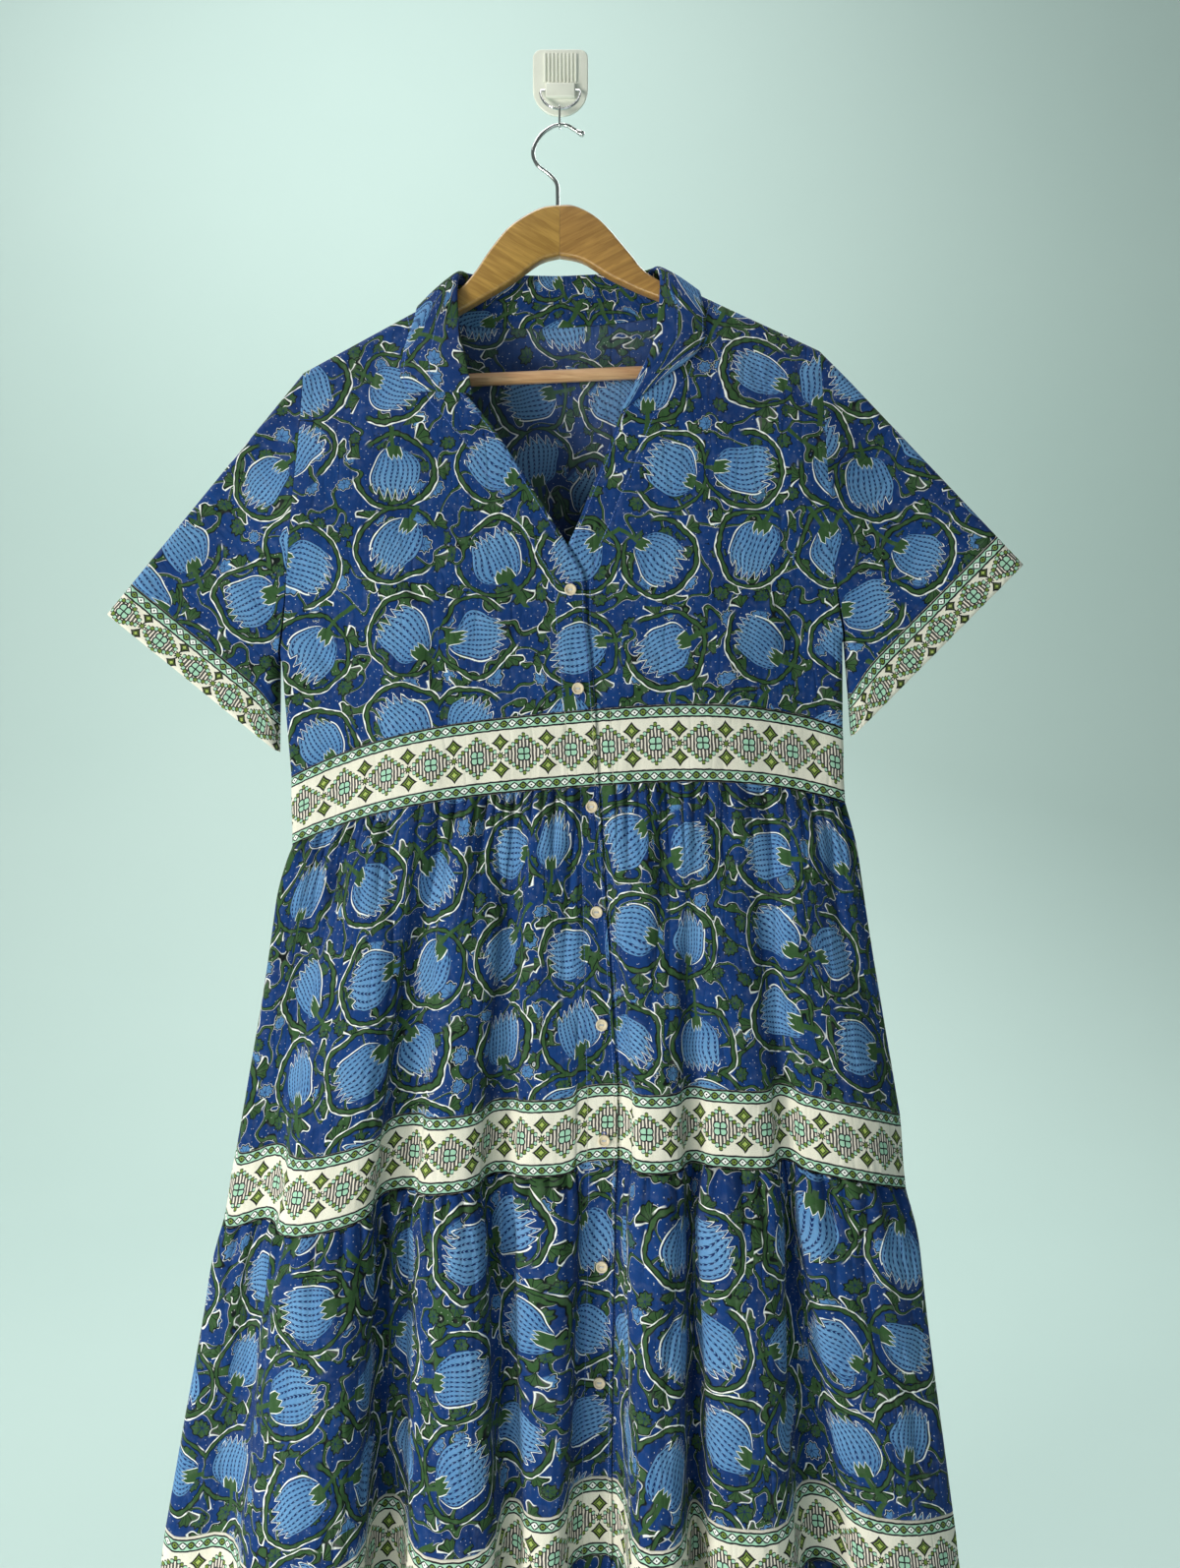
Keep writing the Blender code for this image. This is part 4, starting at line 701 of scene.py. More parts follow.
@dataclass(frozen=True)
class Bodice:
    """The fronts, the yoke and the back above the waist."""

    form: BodiceForm = BODICE
    rows: int = 96
    columns: int = 84
    neck_rows: int = 30
    neck_share: float = 0.2
    back_columns: int = 120
    yoke_columns: int = 150
    yoke_rows: int = 26
    yoke_drop: float = 9.0
    lap_end: float = 34.0
    lap_ease: float = 24.0
    # How strongly rows and columns crowd toward the neck, the edges and the shoulder seam
    neck_crowding: float = 2.0
    side_crowding: float = 1.35
    yoke_crowding: float = 1.7

    @staticmethod
    def grid(first: np.ndarray, last: np.ndarray, across: np.ndarray) -> np.ndarray:
        """Return rows of values that run from a first to a last value each."""
        return blend(first[:, None], last[:, None], across[None, :])

    @staticmethod
    def to_waist(z: np.ndarray, share: np.ndarray, across: np.ndarray, ends: tuple[Spot, Spot],
                 facing: float) -> np.ndarray:
        """Move heights so that the last row meets the waist's seam.

        Args:
            z: The grid's heights.
            share: Each row's share of the way down.
            across: Each column's share of the way across.
            ends: Where the last row starts and ends.
            facing: FRONT or BACK.

        Returns:
            The moved heights.
        """
        first, last = ends
        seam = WAIST_TOP.height(blend(first.x, last.x, across), facing)
        lift = seam + SEAM - blend(first.z, last.z, across)
        return z + lift[None, :] * share[:, None] ** 3

    def front(self, half: Half, tailor: Tailor) -> None:
        """Make one front, from the closure's edge to the armhole and side seam."""
        share = np.unique(np.concatenate([crowded(self.neck_rows, self.neck_crowding) * self.neck_share,
                                          np.linspace(self.neck_share, 1.0, self.rows - self.neck_rows)]))
        z_side = blend(half.shoulder.z, half.waist.z, share)
        z_edge = blend(half.edge[0].z, half.edge[-1].z, share)
        x_edge = route_x(half.edge, z_edge)
        across = 1.0 - crowded(self.columns, self.side_crowding)[::-1]
        x = self.grid(x_edge, arm_spots(half, z_side, SEAM / 2.0), across)
        ends = (half.edge[-1], half.waist)
        z = self.to_waist(self.grid(z_edge, z_side, across), share, across, ends, FRONT)
        lap = 0.0
        if half is LEFT:
            lap = LAP * (1.0 - ease((x - self.lap_end) / self.lap_ease))
        points = self.form.points(x, z, FRONT, lap)
        shut = z_side <= half.underarm.z
        points[shut, -1, 1] = self.form.middle_y(z[shut, -1]) - SEAM / 2.0
        trim = np.stack([z, np.abs(x - x_edge[:, None])], axis=-1)
        sheet = Sheet(points, np.stack([x, z], axis=-1), FRONT, trim)
        tailor.sew(sheet, Cut(f"bodice_front_{half.side}", "floral_cotton", 275.0, 435.0, "hung"))

    def yoke(self, tailor: Tailor) -> None:
        """Make the back yoke, from the shoulder seams and neckline to the yoke seam."""
        top = [RIGHT.shoulder, RIGHT.neck, *BACK_NECK, LEFT.neck, LEFT.shoulder]
        x = np.unique(np.concatenate([np.linspace(RIGHT.shoulder.x, LEFT.shoulder.x, self.yoke_columns),
                                      [spot.x for spot in BACK_NECK]]))
        high = np.interp(x, [spot.x for spot in top], [spot.z for spot in top])
        ends = (RIGHT.shoulder.z - self.yoke_drop, LEFT.shoulder.z - self.yoke_drop)
        foot = np.interp(x, [RIGHT.shoulder.x, LEFT.shoulder.x], ends) + SEAM / 2.0
        down = crowded(self.yoke_rows, self.yoke_crowding)
        z = blend(high[None, :], foot[None, :], down[:, None])
        x = np.broadcast_to(x, z.shape)
        sheet = Sheet(self.form.points(x, z, BACK), np.stack([-x + YOKE_MAP, z], axis=-1), BACK)
        tailor.sew(sheet, Cut("back_yoke", "floral_cotton", 455.0, 100.0, "hung"))

    def back(self, tailor: Tailor) -> None:
        """Make the back, from the yoke seam to the waist."""
        share = np.linspace(0.0, 1.0, self.rows)
        z_right, z_left = (blend(half.shoulder.z - self.yoke_drop - SEAM, half.waist.z, share)
                           for half in (RIGHT, LEFT))
        across = 0.5 - 0.5 * np.cos(np.pi * np.linspace(0.0, 1.0, self.back_columns))
        x = self.grid(arm_spots(RIGHT, z_right, SEAM / 2.0), arm_spots(LEFT, z_left, SEAM / 2.0), across)
        z = self.to_waist(self.grid(z_right, z_left, across), share, across, (RIGHT.waist, LEFT.waist), BACK)
        points = self.form.points(x, z, BACK)
        for shut, column in ((z_right <= RIGHT.underarm.z, 0), (z_left <= LEFT.underarm.z, -1)):
            points[shut, column, 1] = self.form.middle_y(z[shut, column]) + SEAM / 2.0
        sheet = Sheet(points, np.stack([-x + BACK_MAP, z], axis=-1), BACK)
        tailor.sew(sheet, Cut("bodice_back", "floral_cotton", 492.0, 370.0, "hung"))


@dataclass(frozen=True)
class Sleeve:
    """One sleeve with its border strip, as two open tubes."""

    half: Half
    form: BodiceForm = BODICE
    around: int = 56
    along: int = 52
    band_rows: int = 10
    # Where the sleeve ends and its strip begins, on either side of the seam
    seam_gap: tuple[float, float] = (0.998, 1.004)
    band: float = 34.0
    spread: float = 0.6
    flare_from: float = 0.7

    def ring(self, reach: np.ndarray) -> tuple[np.ndarray, np.ndarray]:
        """Return the front's x and z for each reach along the sleeve and share round its front.

        Args:
            reach: 0 at the armhole, 1 at the band's seam and 2 at the hem.

        Returns:
            Arrays of x and z, a row for each reach.
        """
        half = self.half
        share = 0.5 - 0.5 * np.cos(np.pi * np.linspace(0.0, 1.0, self.around))
        start_z = blend(half.shoulder.z, half.underarm.z, share)
        start_x = arm_spots(half, start_z)
        apart = np.maximum(0.0, (share - self.flare_from) / (1.0 - self.flare_from))
        start_x = start_x + half.sign * self.form.underarm_gap * apart
        cuff = 1.0 - np.maximum(0.0, 1.0 - share) ** self.spread
        cuff_x = blend(half.cuff_top.x, half.cuff_foot.x, cuff)
        cuff_z = blend(half.cuff_top.z, half.cuff_foot.z, cuff)
        length = np.hypot(cuff_x - start_x, cuff_z - start_z)
        seam = 1.0 - self.band / length
        way = np.where(reach[:, None] <= 1.0, seam * np.minimum(reach[:, None], 1.0),
                       blend(seam, 1.0, reach[:, None] - 1.0))
        return blend(start_x, cuff_x, way), blend(start_z, cuff_z, way)

    def tube(self, reach: np.ndarray) -> Sheet:
        """Return the grid of a stretch of the sleeve, round the front and on round the back."""
        x, z = self.ring(reach)
        front = self.form.points(x, z, FRONT)
        back = self.form.points(x, z, BACK)
        for end in (0, -1):
            middle = (front[:, end] + back[:, end]) / 2.0
            front[:, end] = middle
            back[:, end] = middle
        points = np.concatenate([front, back[:, -2::-1]], axis=1)
        half = self.half
        fall = math.atan2(half.cuff_top.z - half.shoulder.z, abs(half.cuff_top.x - half.shoulder.x))
        turn = half.sign * (math.pi / 2.0 + fall)
        u = (x - half.shoulder.x) * math.cos(turn) - (z - half.shoulder.z) * math.sin(turn)
        v = (x - half.shoulder.x) * math.sin(turn) + (z - half.shoulder.z) * math.cos(turn)
        place = np.stack([u + half.sign * SLEEVE_MAP, v], axis=-1)
        mirrored = np.stack([u + half.sign * UNDER_SLEEVE_MAP, v], axis=-1)
        flat = np.concatenate([place, mirrored[:, -2::-1]], axis=1)
        return Sheet(points, flat, closed=True, facing_columns=(0, self.around))

    def make(self, tailor: Tailor) -> None:
        """Make the sleeve and its border strip."""
        side = self.half.side
        sheet = self.tube(crowded(self.along, 1.2) * self.seam_gap[0])
        tailor.sew(sheet, Cut(f"sleeve_{side}", "floral_cotton", 430.0, 270.0, "hung"))
        sheet = self.tube(np.linspace(self.seam_gap[1], 2.0, self.band_rows))
        around = arc_length(sheet.points[-1])
        across = np.linspace(self.band, 0.0, self.band_rows)
        flat = np.stack(np.broadcast_arrays(around[None, :], across[:, None]), axis=-1)
        band = Sheet(sheet.points, flat, closed=True, facing_columns=(0, self.around))
        cut = Cut(f"sleeve_band_{side}", "border_cotton", 400.0, self.band, "hung", finish="cuff_cotton")
        tailor.sew(band, cut)


@dataclass(frozen=True)
class Station:
    """A cut across the collar: where it is sewn on, where it rolls over and its outer edge."""

    seam: Spot
    roll: Spot
    edge: Spot
    facing: float
    depth: float


COLLAR_STATIONS = tuple(Station(*spots(*places), *rest) for *places, rest in (
    ((-81.0, -301.0), (-74.0, -307.0), (-129.0, -304.0), (-1.0, 33.5)),
    ((-86.0, -288.0), (-78.0, -287.0), (-136.0, -290.0), (-1.0, 30.0)),
    ((-92.5, -264.0), (-84.0, -262.0), (-135.0, -268.0), (-1.0, 24.0)),
    ((-97.5, -244.0), (-88.0, -234.0), (-131.0, -249.0), (-1.0, 17.0)),
    ((-102.0, -225.0), (-90.0, -205.0), (-127.0, -236.0), (-1.0, 11.5)),
    ((-105.3, -212.5), (-89.0, -191.0), (-124.5, -221.5), (0.0, -8.5)),
    ((-105.8, -207.0), (-87.0, -185.0), (-122.0, -215.5), (0.0, 0.0)),
    ((-105.3, -212.5), (-82.0, -183.5), (-121.0, -220.5), (0.0, 8.5)),
    ((-102.0, -225.5), (-72.0, -183.0), (-117.0, -236.0), (1.0, 11.5)),
    ((-84.0, -230.0), (-56.0, -182.5), (-98.0, -240.0), (1.0, 14.0)),
    ((-45.0, -231.0), (-30.0, -182.0), (-50.0, -243.0), (1.0, 16.0)),
    ((0.0, -230.0), (0.0, -182.0), (0.0, -242.0), (1.0, 17.0)),
    ((45.0, -227.0), (30.0, -181.0), (50.0, -238.0), (1.0, 16.0)),
    ((84.0, -222.0), (56.0, -180.0), (98.0, -229.0), (1.0, 14.0)),
    ((102.0, -214.0), (72.0, -179.5), (117.0, -223.0), (1.0, 11.5)),
    ((105.3, -200.5), (82.0, -179.0), (120.0, -207.0), (0.0, 8.5)),
    ((105.8, -195.5), (86.0, -181.0), (121.0, -202.0), (0.0, 0.0)),
    ((105.3, -200.5), (88.0, -187.0), (123.5, -207.5), (0.0, -8.5)),
    ((102.0, -213.0), (89.0, -200.0), (126.0, -222.0), (-1.0, 11.5)),
    ((96.5, -234.0), (87.0, -228.0), (128.0, -238.0), (-1.0, 17.5)),
    ((89.0, -258.0), (83.0, -256.0), (127.0, -252.0), (-1.0, 24.5)),
    ((79.0, -284.0), (73.0, -283.0), (121.0, -266.0), (-1.0, 31.0)),
    ((60.0, -311.0), (55.0, -318.0), (106.0, -281.0), (-1.0, 33.5)),
))


def smooth_through(values: np.ndarray, count: int) -> np.ndarray:
    """Return count rows along a smooth curve through rows of values.

    Args:
        values: The rows to pass through.
        count: How many rows to return, the ends among them.

    Returns:
        The rows along the curve.
    """
    place = np.linspace(0.0, len(values) - 1.0, count)
    span = np.minimum(place.astype(int), len(values) - 2)
    t = (place - span).reshape(-1, *([1] * (values.ndim - 1)))
    p0 = values[np.maximum(span - 1, 0)]
    p1 = values[span]
    p2 = values[span + 1]
    p3 = values[np.minimum(span + 2, len(values) - 1)]
    return 0.5 * (2.0 * p1 + (p2 - p0) * t + (2.0 * p0 - 5.0 * p1 + 4.0 * p2 - p3) * t ** 2
                  + (3.0 * p1 - p0 - 3.0 * p2 + p3) * t ** 3)


@dataclass(frozen=True)
class Collar:
    """The camp collar: a stand that rises inside the neck and a fall that turns over it."""

    form: BodiceForm = BODICE
    steps: int = 190
    rows: int = 30
    stand_in: float = 3.0
    fall_out: float = 2.6
    roll_radius: float = 2.4
    # How far up the stand its middle row is, and how much longer the outer edge is than the print on it
    stand_middle: float = 0.55
    print_share: float = 0.9

    def lines(self) -> list[np.ndarray]:
        """Return the seam, the roll, the outer edge and the facings along the collar."""
        lines: list[list[tuple[float, float, float]]] = [[], [], []]
        for station in COLLAR_STATIONS:
            spots = (station.seam, station.roll, station.edge)
            if station.facing == 0.0:
                depths = (station.depth * 0.9, station.depth * 0.8, station.depth * 1.15)
            else:
                side = station.facing
                seam_depth, edge_depth = (
                    float(self.form.depth(np.array(spot.x), np.array(spot.z), side))
                    for spot in (station.seam, station.edge))
                depths = (side * (seam_depth - self.stand_in), side * station.depth,
                          side * (edge_depth + self.fall_out))
            for line, spot, depth in zip(lines, spots, depths):
                line.append((spot.x, float(self.form.middle_y(spot.z)) + depth, spot.z))
        facings = [[station.facing] for station in COLLAR_STATIONS]
        return [smooth_through(np.array(line), self.steps) for line in (*lines, facings)]

    def make(self, tailor: Tailor) -> None:
        """Make the collar."""
        seam, roll, edge, facing = self.lines()
        tangent = np.gradient(roll, axis=0)
        tangent /= np.linalg.norm(tangent, axis=1, keepdims=True)
        rise = roll - seam
        rise /= np.linalg.norm(rise, axis=1, keepdims=True)
        fall = edge - roll
        fall /= np.linalg.norm(fall, axis=1, keepdims=True)
        turn = rise - fall
        crest = turn - tangent * (turn * tangent).sum(axis=1, keepdims=True)
        crest /= np.linalg.norm(crest, axis=1, keepdims=True)
        apart = np.cross(crest, tangent) * self.roll_radius
        foot = roll - crest * self.roll_radius
        middle = (roll + edge) / 2.0 + apart
        for side in (FRONT, BACK):
            near = (facing[:, 0] * side) > 0.9
            depth = self.form.depth(middle[near, 0], middle[near, 2], side) + self.fall_out
            level = self.form.middle_y(middle[near, 2])
            offset = (middle[near, 1] - level) * side
            middle[near, 1] = level + side * np.maximum(offset, depth)
        inner = foot - apart
        stand = blend(seam, inner, self.stand_middle)
        cuts = np.stack([seam, stand, inner, roll, foot + apart, middle, edge])
        section = smooth_through(cuts, self.rows)
        around = arc_length(edge)
        across = np.stack([arc_length(section[:, i]) for i in range(self.steps)], axis=1)
        u = np.broadcast_to(around[None, :] * self.print_share, across.shape)
        from_edge = across[-1][None, :] - across
        trim = np.stack([u, from_edge], axis=-1)
        sheet = Sheet(section, np.stack([u + COLLAR_MAP, -across], axis=-1), FRONT, trim,
                      facing_rows=(self.rows * 2 // 3, None), facing_columns=(0, self.steps // 6))
        tailor.sew(sheet, Cut("collar", "floral_cotton", 600.0, 110.0, "folded", COLLAR_WALL))


class PanelRun(Enum):
    """The three panels of each ring: name, facing, first and last share, lap under, columns."""

    FRONT_RIGHT = ("front_right", FRONT, 0.0, EDGE_SHARE, False, 250)
    FRONT_LEFT = ("front_left", FRONT, UNDER_SHARE, 1.0, True, 230)
    BACK = ("back", BACK, 0.0, 1.0, False, 300)


@dataclass(frozen=True)
class Ring:
    """Cloth round the dress between two seams, sewn from three panels. Strip and Tier say how it hangs."""

    name: str
    top: Level
    foot: Level
    length: float

    def make(self, run: PanelRun, tailor: Tailor) -> None:
        """Make one panel."""
        label, facing, start, end, under, columns = run.value
        share = np.linspace(start, end, int(columns * self.fineness))
        drop = self.drops()[:, None]
        upper, out_top = SKIRT.seam(self.top, facing, share)
        lower, out_foot = SKIRT.seam(self.foot, facing, share)
        points = blend(upper[None], lower[None], drop[..., None])
        out = self.outward(blend(out_top[None], out_foot[None], drop[..., None]))
        lap = LAP * SKIRT.lap_weight(share) if under else np.zeros_like(share)
        swing = self.swing(share[None, :], drop, facing, np.abs(out[..., 1]))
        points[..., :2] += out * (swing - lap[None, :])[..., None]
        points[0, :, 2] -= SEAM / 2.0
        if self.foot is not HEM:
            points[-1, :, 2] += SEAM / 2.0
        around = arc_length(lower)
        width = around[-1]
        trim = None
        if facing < 0.0:
            distance = np.abs(around - (0.0 if under else width))
            trim = np.stack(np.broadcast_arrays(points[..., 2], distance[None, :]), axis=-1)
        u, v = self.place(around, drop, start, -facing)
        flat = np.stack(np.broadcast_arrays(u[None, :], v), axis=-1)
        cut = Cut(f"{self.name}_{label}", self.slot, round(width, 0), self.length, self.held)
        tailor.sew(Sheet(points, flat, facing, trim), cut)


@dataclass(frozen=True)
class Strip(Ring):
    """A border strip, almost flat."""

    rows: int = 12
    fineness: float = 1.0
    ripple: float = 0.5
    apart: float = 1900.0
    slot: str = "border_cotton"
    held: str = "hung"

    def drops(self) -> np.ndarray:
        """Return the drop of each row."""
        return np.linspace(0.0, 1.0, self.rows)

    def outward(self, out: np.ndarray) -> np.ndarray:
        """Return the way that the cloth swings."""
        return out

    def swing(self, share: np.ndarray, drop: np.ndarray, facing: float, face_on: np.ndarray) -> np.ndarray:
        """Return a faint ripple in millimetres, a row for each drop."""
        return self.ripple * np.sin(drop * 4.0 + share * 90.0) * np.sin(np.pi * drop)

    def place(self, around: np.ndarray, drop: np.ndarray, start: float,
              way: float) -> tuple[np.ndarray, np.ndarray]:
        """Return the place on the flat cloth, along the border and up it."""
        return (around + start * self.apart) * way, blend(self.length, 0.0, drop)


@dataclass(frozen=True)
class Tier(Ring):
    """A gathered tier: its gathers, and how far it puffs out below the upper seam."""

    gathers: int
    depth: float
    puff: float
    seed: float
    rows: int = 60
    fineness: float = 1.2
    # The back hangs near the wall, so its gathers swing less
    back_swing: float = 0.6
    # Fine pleats fade within this share of the drop. The long folds and merged folds run on below
    pleat_reach: float = 0.13
    merged_reach: float = 0.8
    # How many of the pleats run together into one long fold, and into one merged fold, as shares
    long_share: float = 0.31
    merged_share: float = 0.155
    # The folds grow in over these shares of the drop, and end this far above the lower seam
    grow_in: float = 0.2
    end_ease: float = 0.25
    foot_ease: float = 0.06
    crowding: float = 1.25
    # How deep each kind of fold is, against the tier's depth
    pleat_gain: float = 0.7
    long_gain: float = 1.6
    merged_gain: float = 2.1
    apart: float = 1700.0
    slot: str = "floral_cotton"
    held: str = "gathered"

    def drops(self) -> np.ndarray:
        """Return the drop of each row, closest together at the gathered seam."""
        return crowded(self.rows, self.crowding)

    def outward(self, out: np.ndarray) -> np.ndarray:
        """Return the way that the cloth swings, as unit steps."""
        return out / np.linalg.norm(out, axis=-1, keepdims=True)

    def gather(self, share: np.ndarray, drop: np.ndarray) -> np.ndarray:
        """Return the gathers' swing in millimetres: fine pleats at the seam that merge and fade below."""
        seed = self.seed
        drift = 0.9 * np.sin(9.0 * share + seed) + 0.5 * np.sin(23.0 * share + 2.0 * seed)
        phase = self.gathers * share + drift
        sway = 0.25 * np.sin(5.0 * drop + share * 31.0 + seed)
        strength = 0.65 + 0.35 * np.sin(41.0 * share + 3.0 * seed)
        reach = 0.42 + 0.25 * np.sin(57.0 * share + seed)
        fine = tucked(phase + 0.3 * sway) * np.exp(-drop / self.pleat_reach)
        long_folds = tucked(phase * self.long_share + 0.5 * sway) * strength * np.exp(-drop / reach)
        fading = ease(drop / self.grow_in) * np.exp(-drop / self.merged_reach)
        fading = fading * ease((1.0 - drop) / self.end_ease)
        merged = tucked(phase * self.merged_share + 0.5 * sway + 0.2) * fading
        return self.depth * (self.pleat_gain * fine + self.long_gain * long_folds * ease(drop / 0.05 + 0.25)
                             + self.merged_gain * merged)

    def swing(self, share: np.ndarray, drop: np.ndarray, facing: float, face_on: np.ndarray) -> np.ndarray:
        """Return the gathers and the puff in millimetres, both least where the cloth is edge on."""
        held_back = self.back_swing if facing > 0.0 else 1.0
        gather = self.gather(share, drop) * SKIRT.gather_mask(share, facing) * held_back
        puff = self.puff * np.interp(drop, PUFF_DROPS, PUFF_SHARES)
        return (gather + puff) * face_on * ease((1.0 - drop) / self.foot_ease)

    def place(self, around: np.ndarray, drop: np.ndarray, start: float,
              way: float) -> tuple[np.ndarray, np.ndarray]:
        """Return the place on the flat cloth, along the tier and up it."""
        return around * way + self.seed * 1000.0 + start * self.apart, self.seed * 310.0 - drop * self.length


PUFF_DROPS = (0.0, 0.05, 0.09, 0.13, 0.2, 0.3, 0.5, 0.75, 1.0)
PUFF_SHARES = (0.0, 0.6, 0.88, 1.0, 0.97, 0.84, 0.55, 0.25, 0.0)
RINGS = (
    Strip("waist_band", WAIST_TOP, WAIST_FOOT, 64.0),
    Strip("band2", BAND2_TOP, BAND2_FOOT, 64.0),
    Strip("band3", BAND3_TOP, BAND3_FOOT, 66.0),
    Tier("tier1", WAIST_FOOT, BAND2_TOP, 262.0, gathers=46, depth=4.2, puff=5.0, seed=1.7),
    Tier("tier2", BAND2_FOOT, BAND3_TOP, 258.0, gathers=54, depth=4.6, puff=6.0, seed=2.9),
    Tier("hem_tier", BAND3_FOOT, HEM, 140.0, gathers=60, depth=4.2, puff=4.0, seed=4.1, rows=32),
)


# Finishes

# Widths in millimetres over which ink bleeds
CRISP = 0.3
EVEN = 0.4
# The turn that each printed block may be laid at, in radians
BLOCK_TURN = 6.28


@dataclass(frozen=True)
class Reading:
    """A value that one node hands to the next, with the sums that a printer's drawing is made of."""

    tree: bpy.types.NodeTree
    socket: bpy.types.NodeSocket

    def beside(self, name: str) -> "Reading":
        """Return another output of the same node."""
        return Reading(self.tree, self.socket.node.outputs[name])

    def math(self, operation: str, *values: "Reading | float") -> "Reading":
        """Return the result of one operation on values."""
        return add_node(self.tree, "Math", {"operation": operation}, dict(enumerate(values)))

    def __add__(self, other: "Reading | float") -> "Reading":
        """Return the sum."""
        return self.math("ADD", self, other)

    def __sub__(self, other: "Reading | float") -> "Reading":
        """Return the difference."""
        return self.math("SUBTRACT", self, other)

    def __rsub__(self, other: float) -> "Reading":
        """Return a number less this value."""
        return self.math("SUBTRACT", other, self)

    def __mul__(self, other: "Reading | float") -> "Reading":
        """Return the product."""
        return self.math("MULTIPLY", self, other)

    def __truediv__(self, other: "Reading | float") -> "Reading":
        """Return the quotient."""
        return self.math("DIVIDE", self, other)

    def __abs__(self) -> "Reading":
        """Return the size without its sign."""
        return self.math("ABSOLUTE", self)

    def root(self) -> "Reading":
        """Return the square root."""
        return self.math("SQRT", self)

    def sine(self) -> "Reading":
        """Return the sine."""
        return self.math("SINE", self)

    def fract(self) -> "Reading":
        """Return what is left past the whole number below."""
        return self.math("FRACT", self)

    def least(self, other: "Reading | float") -> "Reading":
        """Return the smaller of two values."""
        return self.math("MINIMUM", self, other)

    def most(self, other: "Reading | float") -> "Reading":
        """Return the larger of two values."""
        return self.math("MAXIMUM", self, other)

    def zigzag(self, period: float) -> "Reading":
        """Return 1 at whole periods and 0 halfway between them."""
        return abs((self / period).fract() - 0.5) * 2.0

    def inked(self, bleed: float = 0.5) -> "Reading":
        """Return 1 where the value is above 0, over the width that the ink bleeds."""
        settings = {"operation": "MULTIPLY_ADD", "use_clamp": True}
        return add_node(self.tree, "Math", settings, {0: self, 1: 1.0 / bleed, 2: 0.5})

    def moved(self, operation: str, *values: "Reading | tuple") -> "Reading":
        """Return this place after one operation with other places."""
        return add_node(self.tree, "VectorMath", {"operation": operation}, dict(enumerate((self, *values))))

    def length(self) -> "Reading":
        """Return the distance of this place from the origin."""
        return add_node(self.tree, "VectorMath", {"operation": "LENGTH"}, {0: self}, "Value")

    def turned(self, axis: str, angle: "Reading | float") -> "Reading":
        """Return this place turned about an axis."""
        settings = {"rotation_type": axis + "_AXIS"}
        return add_node(self.tree, "VectorRotate", settings, {"Vector": self, "Angle": angle})

    def parts(self) -> tuple["Reading", "Reading"]:
        """Return this place's first two coordinates."""
        first = add_node(self.tree, "SeparateXYZ", None, {0: self})
        return first, first.beside("Y")

    def noise(self, scale: float, detail: float, output: str = "Fac", distortion: float = 0.0) -> "Reading":
        """Return a soft random reading at this place in space."""
        values = {"Vector": self, "Scale": scale, "Detail": detail, "Distortion": distortion}
        return add_node(self.tree, "TexNoise", None, values, output)

    def patches(self, size: float, detail: float = 2.0, output: str = "Fac") -> "Reading":
        """Return a soft random reading on the flat cloth, whose patches are about a size across."""
        values = {"Vector": self, "Scale": 1.0 / size, "Detail": detail}
        return add_node(self.tree, "TexNoise", {"noise_dimensions": "2D"}, values, output)

    def cells(self, size: float, scatter: float, output: str) -> "Reading":
        """Return a reading of the nearest of scattered centres about a size apart on the flat cloth."""
        values = {"Vector": self, "Scale": 1.0 / size, "Randomness": scatter}
        return add_node(self.tree, "TexVoronoi", {"voronoi_dimensions": "2D"}, values, output)


def add_node(tree: bpy.types.NodeTree, kind: str, settings: dict | None = None, inputs: dict | None = None,
             output: int | str = 0) -> Reading:
    """Add one node with its settings and links.

    Args:
        tree: The material's nodes.
        kind: The node's type without its ShaderNode prefix.
        settings: Values for the node's own properties.
        inputs: Values or readings for its inputs, by index or name.
        output: The output to return.

    Returns:
        A reading of that output.
    """
    node = tree.nodes.new("ShaderNode" + kind)
    for name, value in (settings or {}).items():
        setattr(node, name, value)
    for key, value in (inputs or {}).items():
        if isinstance(value, Reading):
            tree.links.new(value.socket, node.inputs[key])
        else:
            node.inputs[key].default_value = value
    return Reading(tree, node.outputs[output])


def mixed(under: Reading | str, over: Reading | str, cover: Reading | float) -> Reading:
    """Lay one colour over another.

    Args:
        under: The colour below.
        over: The colour on top.
        cover: How much of it lies on each place.

    Returns:
        The colour seen.
    """
    tree = cover.tree if isinstance(cover, Reading) else under.tree
    under, over = (linear_colour(colour) if isinstance(colour, str) else colour for colour in (under, over))
    return add_node(tree, "Mix", {"data_type": "RGBA"}, {0: cover, 6: under, 7: over}, 2)


def printed(colour: Reading, *layers: tuple[Reading | str, Reading]) -> Reading:
    """Print layers, each a colour and its cover, over a colour one after the other."""
    for over, cover in layers:
        colour = mixed(colour, over, cover)
    return colour


def new_material(name: str) -> tuple[bpy.types.Material, bpy.types.NodeTree]:
    """Return a material with its empty node tree."""
    material = bpy.data.materials.new(name)
    material.use_nodes = True
    material.node_tree.nodes.clear()
    return material, material.node_tree


def object_place(tree: bpy.types.NodeTree) -> Reading:
    """Return the place in the piece's own frame, in metres."""
    return add_node(tree, "TexCoord", None, None, "Object")


def surface(tree: bpy.types.NodeTree, values: dict, height: Reading | None = None, strength: float = 0.0,
            distance: float = 0.0) -> None:
    """Wire a surface to the material's output.

    Args:
        tree: The material's nodes.
        values: The shader's inputs.
        height: The relief, if it has any.
        strength: How strong the relief is.
        distance: How high it stands, in metres.
    """
    if height is not None:
        relief = {"Strength": strength, "Distance": distance, "Height": height}
        values["Normal"] = add_node(tree, "Bump", None, relief)
    shader = add_node(tree, "BsdfPrincipled", None, values)
    output = tree.nodes.new("ShaderNodeOutputMaterial")
    tree.links.new(shader.socket, output.inputs["Surface"])


